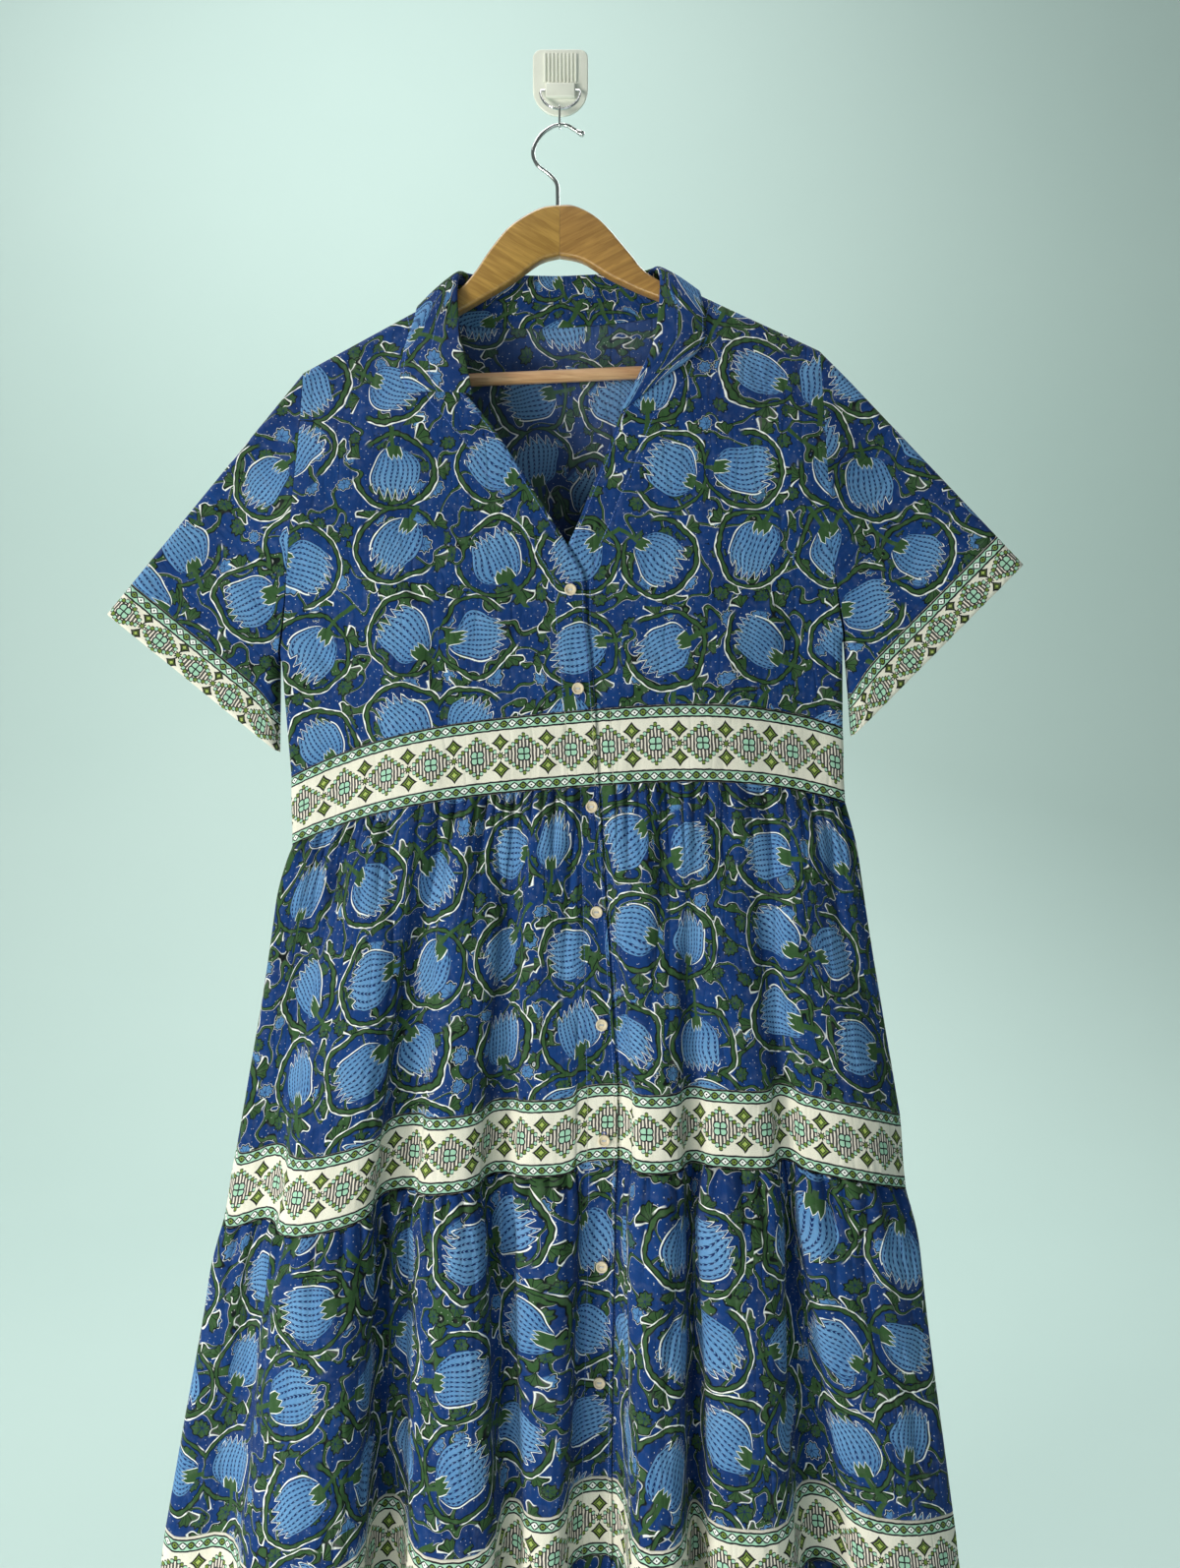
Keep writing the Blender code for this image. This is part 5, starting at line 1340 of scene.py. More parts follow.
@dataclass(frozen=True)
class Cotton:
    """Plain-woven block-printed cotton cambric, soft and dull, with a little sheen from its loose fibres."""

    # Cambric has about 26 threads a centimetre, too fine to show, so its weave is drawn three times as coarse
    thread_mm: float = 1.15
    weave_height: float = 0.05
    crumple_mm: float = 26.0
    crumple_height: float = 0.9
    crinkle_mm: float = 19.0
    crinkle_height: float = 0.75
    stitch_mm: float = 3.1
    stitch_share: float = 0.72
    stitch_half: float = 0.36
    placket_mm: float = 26.0
    edge_mm: float = 3.0
    groove_half: float = 1.6
    groove_depth: float = -0.35
    relief: float = 0.9
    thread_ink: str = "#5f7cc4"
    shade_ink: str = "#10162e"
    slub_ink: str = "#e8ebe8"
    reverse_ink: str = "#8e9cc0"
    reverse_cover: float = 0.09

    def cloth_place(self, tree: bpy.types.NodeTree, name: str) -> Reading:
        """Return the place on the flat cloth in millimetres."""
        mapped = add_node(tree, "UVMap", {"uv_map": name})
        return add_node(tree, "VectorMath", {"operation": "SCALE"}, {0: mapped, "Scale": 1000.0})

    def shifted(self, place: Reading, size: float, reach: float) -> Reading:
        """Return a place moved a little at random, as hand-cut blocks are laid.

        Args:
            place: The place on the flat cloth.
            size: How far apart the random moves change.
            reach: How wide the moves are.

        Returns:
            The moved place.
        """
        random = place.patches(size, 1.0, "Color")
        half = reach / 2.0
        return place.moved("ADD", random.moved("MULTIPLY_ADD", (reach, reach, 0.0), (-half, -half, 0.0)))

    def finish(self, place: Reading, colour: Reading, reverse: bool) -> None:
        """Give the printed colour its stitches, its weave and its sheen, and wire the material up.

        Args:
            place: The place on the flat cloth.
            colour: The printed colour.
            reverse: Whether this is the unprinted side, which the ink only shows through.
        """
        run, off = self.cloth_place(place.tree, TRIM_NAME).parts()
        dash = (self.stitch_share - (run / self.stitch_mm).fract()).inked(0.1)
        row = (self.stitch_half - abs(off - self.placket_mm)).most(self.stitch_half - abs(off - self.edge_mm))
        stitch = row.inked(EVEN) * dash
        fibres = place.patches(0.9, 3.0)
        slub = place.patches(7.0, 3.0)
        colour = printed(colour, (self.thread_ink, stitch * 0.75),
                         (self.shade_ink, (fibres - 0.45).most(0.0) * 0.55),
                         (self.slub_ink, (slub - 0.5).most(0.0) * 0.12))
        if reverse:
            colour = mixed(colour, self.reverse_ink, self.reverse_cover)
        warp, weft = place.parts()
        turn = 2.0 * math.pi / self.thread_mm
        weave = (warp * turn).sine() * (weft * turn).sine() * self.weave_height
        crumple = place.patches(self.crumple_mm, 3.0) * self.crumple_height
        upright = place.moved("MULTIPLY", (1.0, 0.2, 1.0))
        crinkle = (abs(upright.patches(self.crinkle_mm) - 0.5) * 9.0).least(1.0) * self.crinkle_height
        groove = (self.groove_half - abs(off - self.placket_mm)).inked(2.4) * self.groove_depth
        height = weave + crumple + crinkle + groove + stitch * 0.25 + fibres * 0.05
        surface(place.tree, {"Base Color": colour, "Roughness": 0.9, "IOR": 1.46, "Specular IOR Level": 0.18,
                             "Sheen Weight": 0.04, "Sheen Roughness": 0.5}, height, self.relief, MM)


@dataclass(frozen=True)
class FloralPrint(Cotton):
    """Indigo ground with lotus buds in round vines, fan leaves and small buds, from hand-cut blocks."""

    pitch: float = 76.0
    scatter: float = 0.34
    lotus_half: float = 20.0
    lotus_rise: float = 24.0
    lotus_top: float = 22.5
    petal: float = 6.2
    petals: float = 4.5
    vine_radius: float = 32.0
    vine_half: float = 1.25
    sprigs: float = 7.0
    sprig_reach: float = 10.5
    leaf_pitch: float = 27.0
    leaf_scatter: float = 0.75
    leaf_radius: float = 5.2
    speck_pitch: float = 6.5

    def make(self, name: str, reverse: bool) -> bpy.types.Material:
        """Return the material of one side of the cloth."""
        material, tree = new_material(name)
        place = self.cloth_place(tree, UV_NAME)
        block = self.shifted(place, 40.0, 14.0)
        ground = mixed(Ink.DEEP_BLUE, Ink.BRIGHT_BLUE, place.patches(55.0, 3.0))
        colour = self.tendrils(block, ground)
        cell = block.cells(self.pitch, self.scatter, "Position")
        local = block.moved("SUBTRACT", cell)
        far = local.length()
        chance = cell.beside("Color").parts()
        colour = self.leaves(block, far, colour)
        colour = self.vines(local, far, chance, colour)
        colour = self.lotus(local, chance[0], colour)
        self.finish(place, colour, reverse)
        return material

    def tendrils(self, block: Reading, colour: Reading) -> Reading:
        """Print thin curling stems and white specks on the ground."""
        wander = block.patches(30.0, 1.0)
        thin = abs(wander - 0.5) * 30.0
        edge = abs(wander - 0.527) * 30.0
        speck = block.cells(self.speck_pitch, 1.0, "Distance")
        return printed(colour, (Ink.CHALK, (0.26 - edge).inked(0.14)),
                       (Ink.LEAF_DARK, (0.95 - thin).inked(0.2)),
                       (Ink.LEAF, (0.52 - thin).inked(0.15)), (Ink.CHALK, (0.05 - speck).inked(0.05) * 0.6))

    def leaves(self, block: Reading, far: Reading, colour: Reading) -> Reading:
        """Print fan leaves and small buds between the vines."""
        cell = block.cells(self.leaf_pitch, self.leaf_scatter, "Position")
        turn, kind = cell.beside("Color").parts()
        turned = block.moved("SUBTRACT", cell).turned("Z", turn * BLOCK_TURN)
        across, along = turned.parts()
        angle = along.math("ARCTAN2", along, across)
        reach = turned.length()
        inside = (angle * 9.0).sine() * 0.7 + angle.sine() * 1.3 + self.leaf_radius - reach
        away = (abs(far - self.vine_radius) - 4.0).inked(1.0)
        is_bud = (kind - 0.74).inked(0.02)
        veins = abs((angle * 3.5).sine()) * reach
        return printed(
            colour, (Ink.CHALK, (0.55 - abs(inside + 0.9)).inked(EVEN) * is_bud * away),
            (Ink.LEAF_DARK, (inside + 1.15).inked(EVEN) * away),
            (mixed(Ink.LEAF, Ink.LOTUS, is_bud), inside.inked() * away),
            (Ink.VEIN_BLUE, (0.7 - veins).inked() * inside.inked() * away * 0.9))

    def vines(self, local: Reading, far: Reading, chance: tuple[Reading, Reading],
              colour: Reading) -> Reading:
        """Print the round vine that each lotus sits in, with fan leaves along it, lit along one side."""
        across, along = local.parts()
        angle = along.math("ARCTAN2", along, across)
        turn, gap = chance
        colour = self.sprig_leaves(angle, far, turn, colour)
        away = abs(far - self.vine_radius) + (angle * 22.0 + turn * 9.0).sine() * 0.3
        whole = ((angle + gap * BLOCK_TURN).sine() + 0.86).inked(0.08)
        lit = (0.62 - abs(far - self.vine_radius - self.vine_half - 1.3)).inked(EVEN)
        side = ((angle + turn * BLOCK_TURN).sine() + (angle * 9.0).sine() * 0.5 + 0.35).inked(EVEN)
        return printed(colour, (Ink.CHALK, lit * side * whole),
                       (Ink.LEAF_DARK, (self.vine_half + 1.0 - away).inked(EVEN) * whole),
                       (Ink.LEAF, (self.vine_half - away).inked() * whole))

    def sprig_leaves(self, angle: Reading, far: Reading, chance: Reading, colour: Reading) -> Reading:
        """Print fan leaves that grow outward from the round vine at even steps, some left out."""
        turns = angle * (self.sprigs / math.tau) + chance * 5.0
        step = turns.fract() - 0.5
        sideways = step * (math.tau * self.vine_radius / self.sprigs)
        outward = far - self.vine_radius
        lean = angle.math("ARCTAN2", sideways + outward * 0.35, outward)
        reach = (sideways * sideways + outward * outward).root()
        outline = (lean * 13.0).sine() * 0.8 + self.sprig_reach
        fan = (outline - reach).least((0.62 - abs(lean)) * 9.0)
        kept = (((turns - step) * 2.4).sine() + 0.3).inked(0.05)
        veins = (0.5 - abs((lean * 8.0).sine()) * reach * 0.3).least(fan)
        return printed(colour, (Ink.CHALK, (fan + 1.75).inked(EVEN) * (sideways + 1.0).inked(1.5) * kept),
                       (Ink.LEAF_DARK, (fan + 1.0).inked(EVEN) * kept), (Ink.LEAF, fan.inked(EVEN) * kept),
                       (Ink.LEAF_DARK, veins.inked(EVEN) * kept))

    def lotus(self, local: Reading, chance: Reading, colour: Reading) -> Reading:
        """Print a lotus: a bowl of nested petals with dashed veins, pointed tips and a green calyx."""
        across, along = local.turned("Z", chance * BLOCK_TURN).parts()
        level = (along - 2.0) / self.lotus_rise
        width = (1.0 - level * level).most(0.0004).root() * self.lotus_half
        top = self.lotus_top + 2.5 - across * across * 0.02 - across.zigzag(self.petal) * 8.6
        inside = (width - abs(across)).least(top - along)
        fill = mixed(Ink.LOTUS, Ink.LOTUS_PALE, ((along + 20.0) / 44.0).least(1.0))
        edge = (0.5 - abs(inside + 1.7)).inked(EVEN) * (across + along * 0.7 + 6.0).inked(4.0)
        meridian = abs((across / width * self.petals + 0.5).fract() - 0.5) * width / self.petals
        dash = ((along + meridian * 2.0) * 1.7).sine() + 0.5
        line = (0.78 - meridian).inked() * dash.inked() * inside.inked()
        cup = across.zigzag(4.2) * 4.5 - along - 14.5
        cup = cup.least(inside + 1.5).least(6.0 - abs(across))
        return printed(colour, (Ink.CHALK, edge), (Ink.VEIN_BLUE, (inside + 0.7).inked(EVEN)),
                       (fill, inside.inked()), (Ink.VEIN_BLUE, line),
                       (Ink.CHALK, (cup + 0.7).inked(EVEN) * (inside + 0.8).inked(EVEN)),
                       (Ink.LEAF, cup.inked(EVEN)))


@dataclass(frozen=True)
class BorderPrint(Cotton):
    """A cream border with stepped medallions between two chains, a common traditional pattern."""

    middle: float = 32.0
    chains: tuple[float, ...] = (5.5, 58.5)
    chain_half: float = 5.4
    chain_period: float = 14.3
    period: float = 40.0
    bar: float = 3.0
    bars: float = 5.0
    rise: float = 16.0
    fall: float = 2.5
    star: float = 8.0
    star_off: float = 11.5
    star_power: float = 0.8
    heart: float = 2.6
    heart_off: float = 2.3
    thread_ink: str = "#cfcbbb"
    crinkle_height: float = 0.45

    def make(self, name: str, reverse: bool) -> bpy.types.Material:
        """Return the material of one side of the strip."""
        material, tree = new_material(name)
        place = self.cloth_place(tree, UV_NAME)
        along, height = self.shifted(place, 6.0, 1.0).parts()
        colour = mixed(Ink.CREAM, "#e2dece", place.patches(30.0, 3.0))
        dv = height - self.middle
        colour = self.medallion(((along / self.period).fract() - 0.5) * self.period, dv, colour)
        colour = self.stars((((along / self.period) + 0.5).fract() - 0.5) * self.period, dv, colour)
        for centre in self.chains:
            colour = self.chain(along, height - centre, colour)
        self.finish(place, colour, reverse)
        return material

    def medallion(self, du: Reading, dv: Reading, colour: Reading) -> Reading:
        """Print one medallion: upright bars, tallest in the middle, with round ends and a four-leaf heart."""
        cell = (du / self.bar + 0.5).fract() - 0.5
        index = abs(du / self.bar - cell)
        tall = self.rise - index * self.fall
        off = abs(cell) * self.bar
        room = (self.bars + 0.5 - index).inked(0.1)
        bar = tall - abs(dv)
        end = abs(dv) - tall
        knob = 1.5 - (end * end + off * off).root()
        odd = (abs((index * 0.5).fract() - 0.5) - 0.25).inked(0.1)
        reach = (du * du + dv * dv).root()
        lobe_u = abs(du) - self.heart_off
        lobe_v = abs(dv) - self.heart_off
        heart = (self.heart - (lobe_u * lobe_u + lobe_v * lobe_v).root()).most(self.heart - reach)
        cross = (0.6 - abs(du).least(abs(dv))).least(4.4 - reach)
        return printed(
            colour, (Ink.LINE, bar.least(1.5 - off).inked(CRISP) * room),
            ("#f0e8dc", (bar - 0.85).least(0.66 - off).inked(CRISP) * room),
            (Ink.LINE, (knob + 0.7).inked(CRISP) * room),
            (mixed(Ink.MINT, Ink.OLIVE, odd), (knob - 0.1).inked(CRISP) * room),
            (Ink.LINE, (heart + 1.15).inked(CRISP)), (Ink.MINT, heart.inked(CRISP)),
            (Ink.LINE, cross.inked(CRISP)))

    def stars(self, link: Reading, dv: Reading, colour: Reading) -> Reading:
        """Print the small rayed dot between medallions and the hollow-sided stars above and below it."""
        reach = (link * link + dv * dv).root()
        rays = (link.math("ARCTAN2", dv, link) * 8.0).sine() * 0.8 + 2.9 - reach
        side = link.math("POWER", abs(link) / self.star, self.star_power)
        rise = link.math("POWER", abs(abs(dv) - self.star_off) / self.star, self.star_power)
        arm = (side + rise) * self.star
        return printed(
            colour, (Ink.LINE, rays.inked(EVEN)), (Ink.OLIVE, (1.7 - reach).inked(EVEN)),
            (Ink.LINE, (self.star - arm).inked(EVEN)), (Ink.OLIVE, (self.star - 2.0 - arm).inked(EVEN)),
            (Ink.LINE, (0.55 - abs(self.star * 0.5 - arm)).inked(EVEN)),
            ("#a9bb63", (self.star * 0.4 - arm).inked(EVEN)))

    def chain(self, along: Reading, height: Reading, colour: Reading) -> Reading:
        """Print one chain: a mint band with dark edges, white diamonds and olive dots in crossing waves."""
        band = self.chain_half - abs(height)
        wave = (along * (math.tau / self.chain_period)).sine() * 2.5
        inside = (band - 1.4).inked(CRISP)
        crossings = [(Ink.LINE, (0.72 - abs(height - wave * side)).inked(CRISP) * inside)
                     for side in (1.0, -1.0)]
        step = self.chain_period / 2.0
        first = (((along / step) + 1.0).fract() - 0.5) * step
        diamond = 1.0 - abs(first) / 3.1 - abs(height) / 2.5
        odd = ((along / self.chain_period).fract() - 0.5).inked(0.02)
        even = 1.0 - odd
        reach = (first * first + height * height).root()
        dot = 1.9 - reach
        return printed(
            colour, (Ink.LINE, band.inked(CRISP)), (Ink.MINT, (band - 1.5).inked(CRISP)), *crossings,
            (Ink.LINE, (diamond + 0.26).inked(0.1) * odd), (Ink.CHALK, diamond.inked(0.1) * odd),
            (Ink.LINE, (dot + 0.5).inked(CRISP) * even), (Ink.OLIVE, dot.inked(CRISP) * even),
            (Ink.LINE, (0.7 - reach).inked(CRISP)))


@dataclass(frozen=True)
class VarnishedWood:
    """Lotus-wood hanger arm, sawn, sanded and sprayed with clear lacquer: fine pores under a soft gloss."""

    slope: float
    light: str
    dark: str
    # Year rings about 4 mm apart and pores about 0.5 mm wide, drawn out along the arm
    ring_mm: float = 4.0
    pore_mm: float = 1.2
    stretch: float = 14.0
    pore_ink: str = "#7a4c20"

    def make(self, name: str) -> bpy.types.Material:
        """Return the material, its grain turned to the arm's slope."""
        material, tree = new_material(name)
        turned = object_place(tree).turned("Y", math.radians(self.slope))
        drawn = turned.moved("MULTIPLY", (1000.0 / self.stretch, 1000.0, 1000.0))
        rings = drawn.noise(1.0 / self.ring_mm, 3.0, distortion=0.6)
        pores = drawn.noise(1.0 / self.pore_mm, 2.0)
        base = mixed(self.dark, self.light, ((rings - 0.38) * 3.2).least(1.0).most(0.0))
        base = mixed(base, self.pore_ink, (pores - 0.56).most(0.0) * 2.0)
        surface(tree, {"Base Color": base, "Roughness": 0.38, "IOR": 1.5, "Coat Weight": 0.5,
                       "Coat Roughness": 0.18}, pores, 0.3, 0.0003)
        return material


@dataclass(frozen=True)
class ChromedWire:
    """Drawn steel wire, nickel and chrome plated: bright, with faint drawing marks."""

    colour: str = "#cfd0cf"
    mark_mm: float = 0.6
    haze_mm: float = 9.0

    def make(self, name: str) -> bpy.types.Material:
        """Return the material."""
        material, tree = new_material(name)
        place = object_place(tree)
        marks = place.noise(1000.0 / self.mark_mm, 3.0)
        haze = place.noise(1000.0 / self.haze_mm, 2.0)
        surface(tree, {"Base Color": linear_colour(self.colour), "Metallic": 1.0,
                       "Roughness": haze * 0.16 + 0.1}, marks, 0.15, 0.0001)
        return material


@dataclass(frozen=True)
class Moulded:
    """A moulded plastic: a faintly mottled colour, a soft gloss and the grain of its mould."""

    light: str
    dark: str
    roughness: float
    mottle_mm: float
    grain_mm: float = 0.8

    def make(self, name: str) -> bpy.types.Material:
        """Return the material."""
        material, tree = new_material(name)
        place = object_place(tree)
        base = mixed(self.light, self.dark, place.noise(1000.0 / self.mottle_mm, 2.0))
        surface(tree, {"Base Color": base, "Roughness": self.roughness, "IOR": 1.53},
                place.noise(1000.0 / self.grain_mm, 2.0), 0.2, 0.0001)
        return material


@dataclass(frozen=True)
class SewingThread:
    """Spun polyester thread, twisted from plies about 0.3 mm apart."""

    colour: str
    ply_mm: float = 0.6
    shade_ink: str = "#6c7488"

    def make(self, name: str) -> bpy.types.Material:
        """Return the material."""
        material, tree = new_material(name)
        # A wave texture has twenty bands to the unit of its scale
        values = {"Vector": object_place(tree), "Scale": 1000.0 / self.ply_mm / 20.0, "Distortion": 1.0}
        ply = add_node(tree, "TexWave", {"bands_direction": "DIAGONAL"}, values, "Fac")
        base = mixed(self.colour, self.shade_ink, ply * 0.4)
        surface(tree, {"Base Color": base, "Roughness": 0.7, "Sheen Weight": 0.2}, ply, 0.5, 0.0002)
        return material



# Buttons, hanger and stage


def place_mesh(piece: bpy.types.Object, matrix: Matrix) -> None:
    """Put a piece's place into its mesh, its object at the origin."""
    piece.data.transform(matrix)
    piece.matrix_world = Matrix.Identity(4)
    piece.data.update()


# How far in front of a button, and behind it, its seat on the cloth is looked for, in millimetres
SEARCH = 20.0
HALF_BUTTON = 1.1
# A face whose normal's height is above this lies on top
FACES_UP = 0.9


@dataclass(frozen=True)
class Buttons:
    """Eight two-hole buttons with the thread that holds them and the worked buttonholes behind them."""

    radius: float = 5.0
    thick: float = 2.2
    rim: float = 1.3
    dish: float = 0.8
    dish_slope: float = 0.6
    soft_edge: float = 0.22
    hole_radius: float = 0.75
    hole_off: float = 1.15
    slot_half: float = 7.0
    slot_width: float = 1.5
    # The button stands this far off the cloth, on its thread
    lift: float = 0.55
    count: int = 8

    def disc(self, material: bpy.types.Material) -> bpy.types.Object:
        """Turn one dished button with two holes, its back on the plane z = 0."""
        bpy.ops.object.select_all(action="DESELECT")
        bpy.ops.mesh.primitive_cylinder_add(vertices=48, radius=self.radius * MM, depth=self.thick * MM,
                                            location=(0.0, 0.0, self.thick / 2.0 * MM))
        disc = bpy.context.object
        bpy.ops.object.transform_apply(location=True, rotation=True, scale=True)
        switch_to("EDIT")
        bpy.ops.mesh.select_mode(type="FACE")
        bpy.ops.mesh.select_all(action="DESELECT")
        switch_to("OBJECT")
        for face in disc.data.polygons:
            face.select = face.normal.z > FACES_UP
        switch_to("EDIT")
        bpy.ops.mesh.inset(thickness=self.rim * MM)
        bpy.ops.mesh.inset(thickness=self.dish_slope * MM)
        bpy.ops.transform.translate(value=(0.0, 0.0, -self.dish * MM))
        switch_to("OBJECT")
        for side in (-1.0, 1.0):
            bpy.ops.mesh.primitive_cylinder_add(vertices=16, radius=self.hole_radius * MM, depth=8.0 * MM,
                                                location=(side * self.hole_off * MM, 0.0, 0.0))
            drill = bpy.context.object
            select_only(disc)
            cut = disc.modifiers.new("Hole", "BOOLEAN")
            cut.operation = "DIFFERENCE"
            cut.object = drill
            bpy.ops.object.modifier_apply(modifier=cut.name)
            bpy.data.objects.remove(drill, do_unlink=True)
        bevel = disc.modifiers.new("Soft edge", "BEVEL")
        bevel.width = self.soft_edge * MM
        bevel.segments = 2
        bevel.limit_method = "ANGLE"
        bpy.ops.object.modifier_apply(modifier=bevel.name)
        bpy.ops.object.shade_smooth_by_angle(angle=math.radians(50.0))
        set_finish(disc.data, material)
        return disc

    def ring(self, name: str, long: float, wide: float, wire: float, height: float,
             material: bpy.types.Material) -> bpy.types.Object:
        """Make a flat oval of thread.

        Args:
            name: The piece's name.
            long: Half its length, up and down.
            wide: Half its width.
            wire: The thread's radius.
            height: How far it stands off the cloth.
            material: Its finish.

        Returns:
            The oval, in the button's own frame.
        """
        bpy.ops.object.select_all(action="DESELECT")
        bpy.ops.mesh.primitive_torus_add(major_radius=wide * MM, minor_radius=wire * MM, major_segments=40,
                                         minor_segments=8, location=(0.0, 0.0, height * MM))
        oval = bpy.context.object
        bpy.ops.object.transform_apply(location=True, rotation=True, scale=True)
        switch_to("EDIT")
        bpy.ops.mesh.select_all(action="DESELECT")
        switch_to("OBJECT")
        for vertex in oval.data.vertices:
            vertex.select = vertex.co.y > 0.0
        switch_to("EDIT")
        bpy.ops.transform.translate(value=(0.0, (long - wide) * MM, 0.0))
        switch_to("OBJECT")
        for vertex in oval.data.vertices:
            vertex.select = not vertex.select
        switch_to("EDIT")
        bpy.ops.transform.translate(value=(0.0, (wide - long) * MM, 0.0))
        switch_to("OBJECT")
        bpy.ops.object.shade_smooth()
        oval.name = name
        set_finish(oval.data, material)
        return oval

    @staticmethod
    def seat(node: str, cloths: Sequence[bpy.types.Object]) -> Matrix:
        """Return the place of a button on the cloth in front of its node's back.

        Args:
            node: The button's node.
            cloths: The pieces of the right front.

        Returns:
            A matrix whose z axis points out of the cloth and whose y axis points up.
        """
        found = bpy.data.objects[node]
        points = np.array([found.matrix_world @ vertex.co for vertex in found.data.vertices])
        centre = (points.min(axis=0) + points.max(axis=0)) / 2.0
        normal = Vector(np.linalg.svd(points - points.mean(axis=0), full_matrices=False)[2][2])
        if normal.y > 0.0:
            normal = -normal
        start = Vector(centre) + normal * SEARCH * MM
        hits = []
        for cloth in cloths:
            met, place, _, _ = cloth.ray_cast(start, -normal, distance=2.0 * SEARCH * MM)
            if met:
                hits.append(((place - start).length, place))
        base = min(hits)[1] if hits else Vector(centre) - normal * HALF_BUTTON * MM
        right = Vector((0.0, 0.0, 1.0)).cross(normal).normalized()
        up = normal.cross(right)
        matrix = Matrix((right, up, normal)).transposed().to_4x4()
        matrix.translation = base
        return matrix

    def make(self, cloths: Sequence[bpy.types.Object], shell: bpy.types.Material, white: bpy.types.Material,
             blue: bpy.types.Material) -> None:
        """Set a button, its thread and its buttonhole at each of the closure's eight places."""
        disc = self.disc(shell)
        knot = self.ring("thread", self.hole_off + 0.1, 0.42, 0.34, self.thick - self.dish + 0.1, white)
        knot.data.transform(Matrix.Rotation(math.pi / 2.0, 4, "Z"))
        slot = self.ring("buttonhole", self.slot_half, self.slot_width, 0.45, 0.25, blue)
        for number in range(1, self.count + 1):
            node = f"button_{number}"
            matrix = self.seat(node, cloths)
            lift = matrix @ Matrix.Translation((0.0, 0.0, self.lift * MM))
            models = ((disc, "disc", lift), (knot, "thread", lift), (slot, "hole", matrix))
            for model, suffix, place in models:
                piece = new_piece(f"{node}_{suffix}", model.data.copy())
                place_mesh(piece, place)
                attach(piece, BODY)
                if suffix == "disc":
                    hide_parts(node)
            LOG.info("%s set on the placket", node)
        for model in (disc, knot, slot):
            bpy.data.objects.remove(model, do_unlink=True)


def dress_node(node: str, material: bpy.types.Material) -> None:
    """Give a CAD node a finish."""
    set_finish(bpy.data.objects[node].data, material)
    LOG.info("%s: %s", node, material.name)


def finish_piece(piece: bpy.types.Object, name: str, node: str,
                 material: bpy.types.Material) -> None:
    """Name a hard piece, give it its finish and let it stand for its node."""
    piece.name = name
    set_finish(piece.data, material)
    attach(piece, BODY)
    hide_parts(node)
    LOG.info("%s: %s", name, material.name)


def flat_blank(outline: np.ndarray, thick: float) -> bpy.types.Object:
    """Saw a blank out of a board.

    Args:
        outline: Rows of x and z round the blank.
        thick: The board's thickness, which runs back from y = 0 towards the viewer.

    Returns:
        The blank, in metres.
    """
    bpy.ops.object.select_all(action="DESELECT")
    bpy.ops.mesh.primitive_circle_add(vertices=len(outline), radius=1.0, fill_type="NGON",
                                      location=(0.0, 0.0, 0.0))
    blank = bpy.context.object
    for vertex, (x, z) in zip(blank.data.vertices, outline):
        vertex.co = Vector((x, 0.0, z)) * MM
    switch_to("EDIT")
    bpy.ops.mesh.select_mode(type="FACE")
    bpy.ops.mesh.select_all(action="SELECT")
    bpy.ops.mesh.extrude_region_move(TRANSFORM_OT_translate={"value": (0.0, -thick * MM, 0.0)})
    bpy.ops.mesh.select_all(action="SELECT")
    bpy.ops.mesh.normals_make_consistent(inside=False)
    switch_to("OBJECT")
    return blank


def round_rims(blank: bpy.types.Object, width: float, segments: int, keep_sharp: float) -> None:
    """Round the long edges of a blank.

    Args:
        blank: The blank, whose faces lie across y.
        width: How wide the rounding is.
        segments: Its steps.
        keep_sharp: Edges whose ends both lie nearer than this to x = 0 stay sharp.
    """
    data = blank.data
    switch_to("EDIT")
    bpy.ops.mesh.select_mode(type="EDGE")
    bpy.ops.mesh.select_all(action="DESELECT")
    switch_to("OBJECT")
    for edge in data.edges:
        a, b = (data.vertices[i].co for i in edge.vertices)
        at_joint = abs(a.x) < keep_sharp * MM and abs(b.x) < keep_sharp * MM
        edge.select = abs(a.y - b.y) < 1e-6 and not at_joint
    switch_to("EDIT")
    bpy.ops.mesh.bevel(offset=width * MM, segments=segments, profile=0.5, affect="EDGES")
    switch_to("OBJECT")
    bpy.ops.object.shade_smooth_by_angle(angle=math.radians(38.0))


# Hanger arms, drawn from the joint along the top to the tip and back along the underside, as x and z
RIGHT_ARM = (
    (-0.1, -123.5), (-18.0, -126.5), (-43.0, -142.0), (-61.0, -164.0), (-75.0, -186.0), (-89.0, -202.5),
    (-108.0, -215.5), (-216.0, -277.5), (-221.0, -284.5), (-220.0, -300.0), (-213.0, -305.5),
    (-190.0, -290.0), (-100.0, -231.0), (-70.0, -212.0), (-43.0, -195.0), (-18.0, -176.0), (-0.1, -170.5),
)
LEFT_ARM = (
    (0.1, -123.5), (14.0, -124.5), (36.0, -137.5), (62.0, -168.5), (74.0, -184.0), (90.0, -195.0),
    (108.0, -203.5), (220.0, -258.5), (226.0, -266.0), (226.0, -282.0), (219.0, -288.0), (190.0, -271.0),
    (100.0, -217.0), (70.0, -203.0), (44.0, -190.0), (20.0, -175.0), (0.1, -170.5),
)
HOOK_ROUTE = (
    (-2.0, -123.0), (-2.0, -112.0), (-3.0, -101.0), (-9.5, -92.5), (-20.5, -83.0), (-24.4, -70.5),
    (-18.6, -56.3), (-8.8, -47.6), (-0.5, -44.8), (7.0, -45.8), (14.0, -50.3), (21.5, -54.5),
)
# How thick the hook's wire is towards its tip, against the rest of it
SWELL_PLACES = (0.0, 0.92, 0.965, 0.99, 1.0)
SWELL_SIZES = (1.0, 1.0, 1.6, 1.4, 0.7)


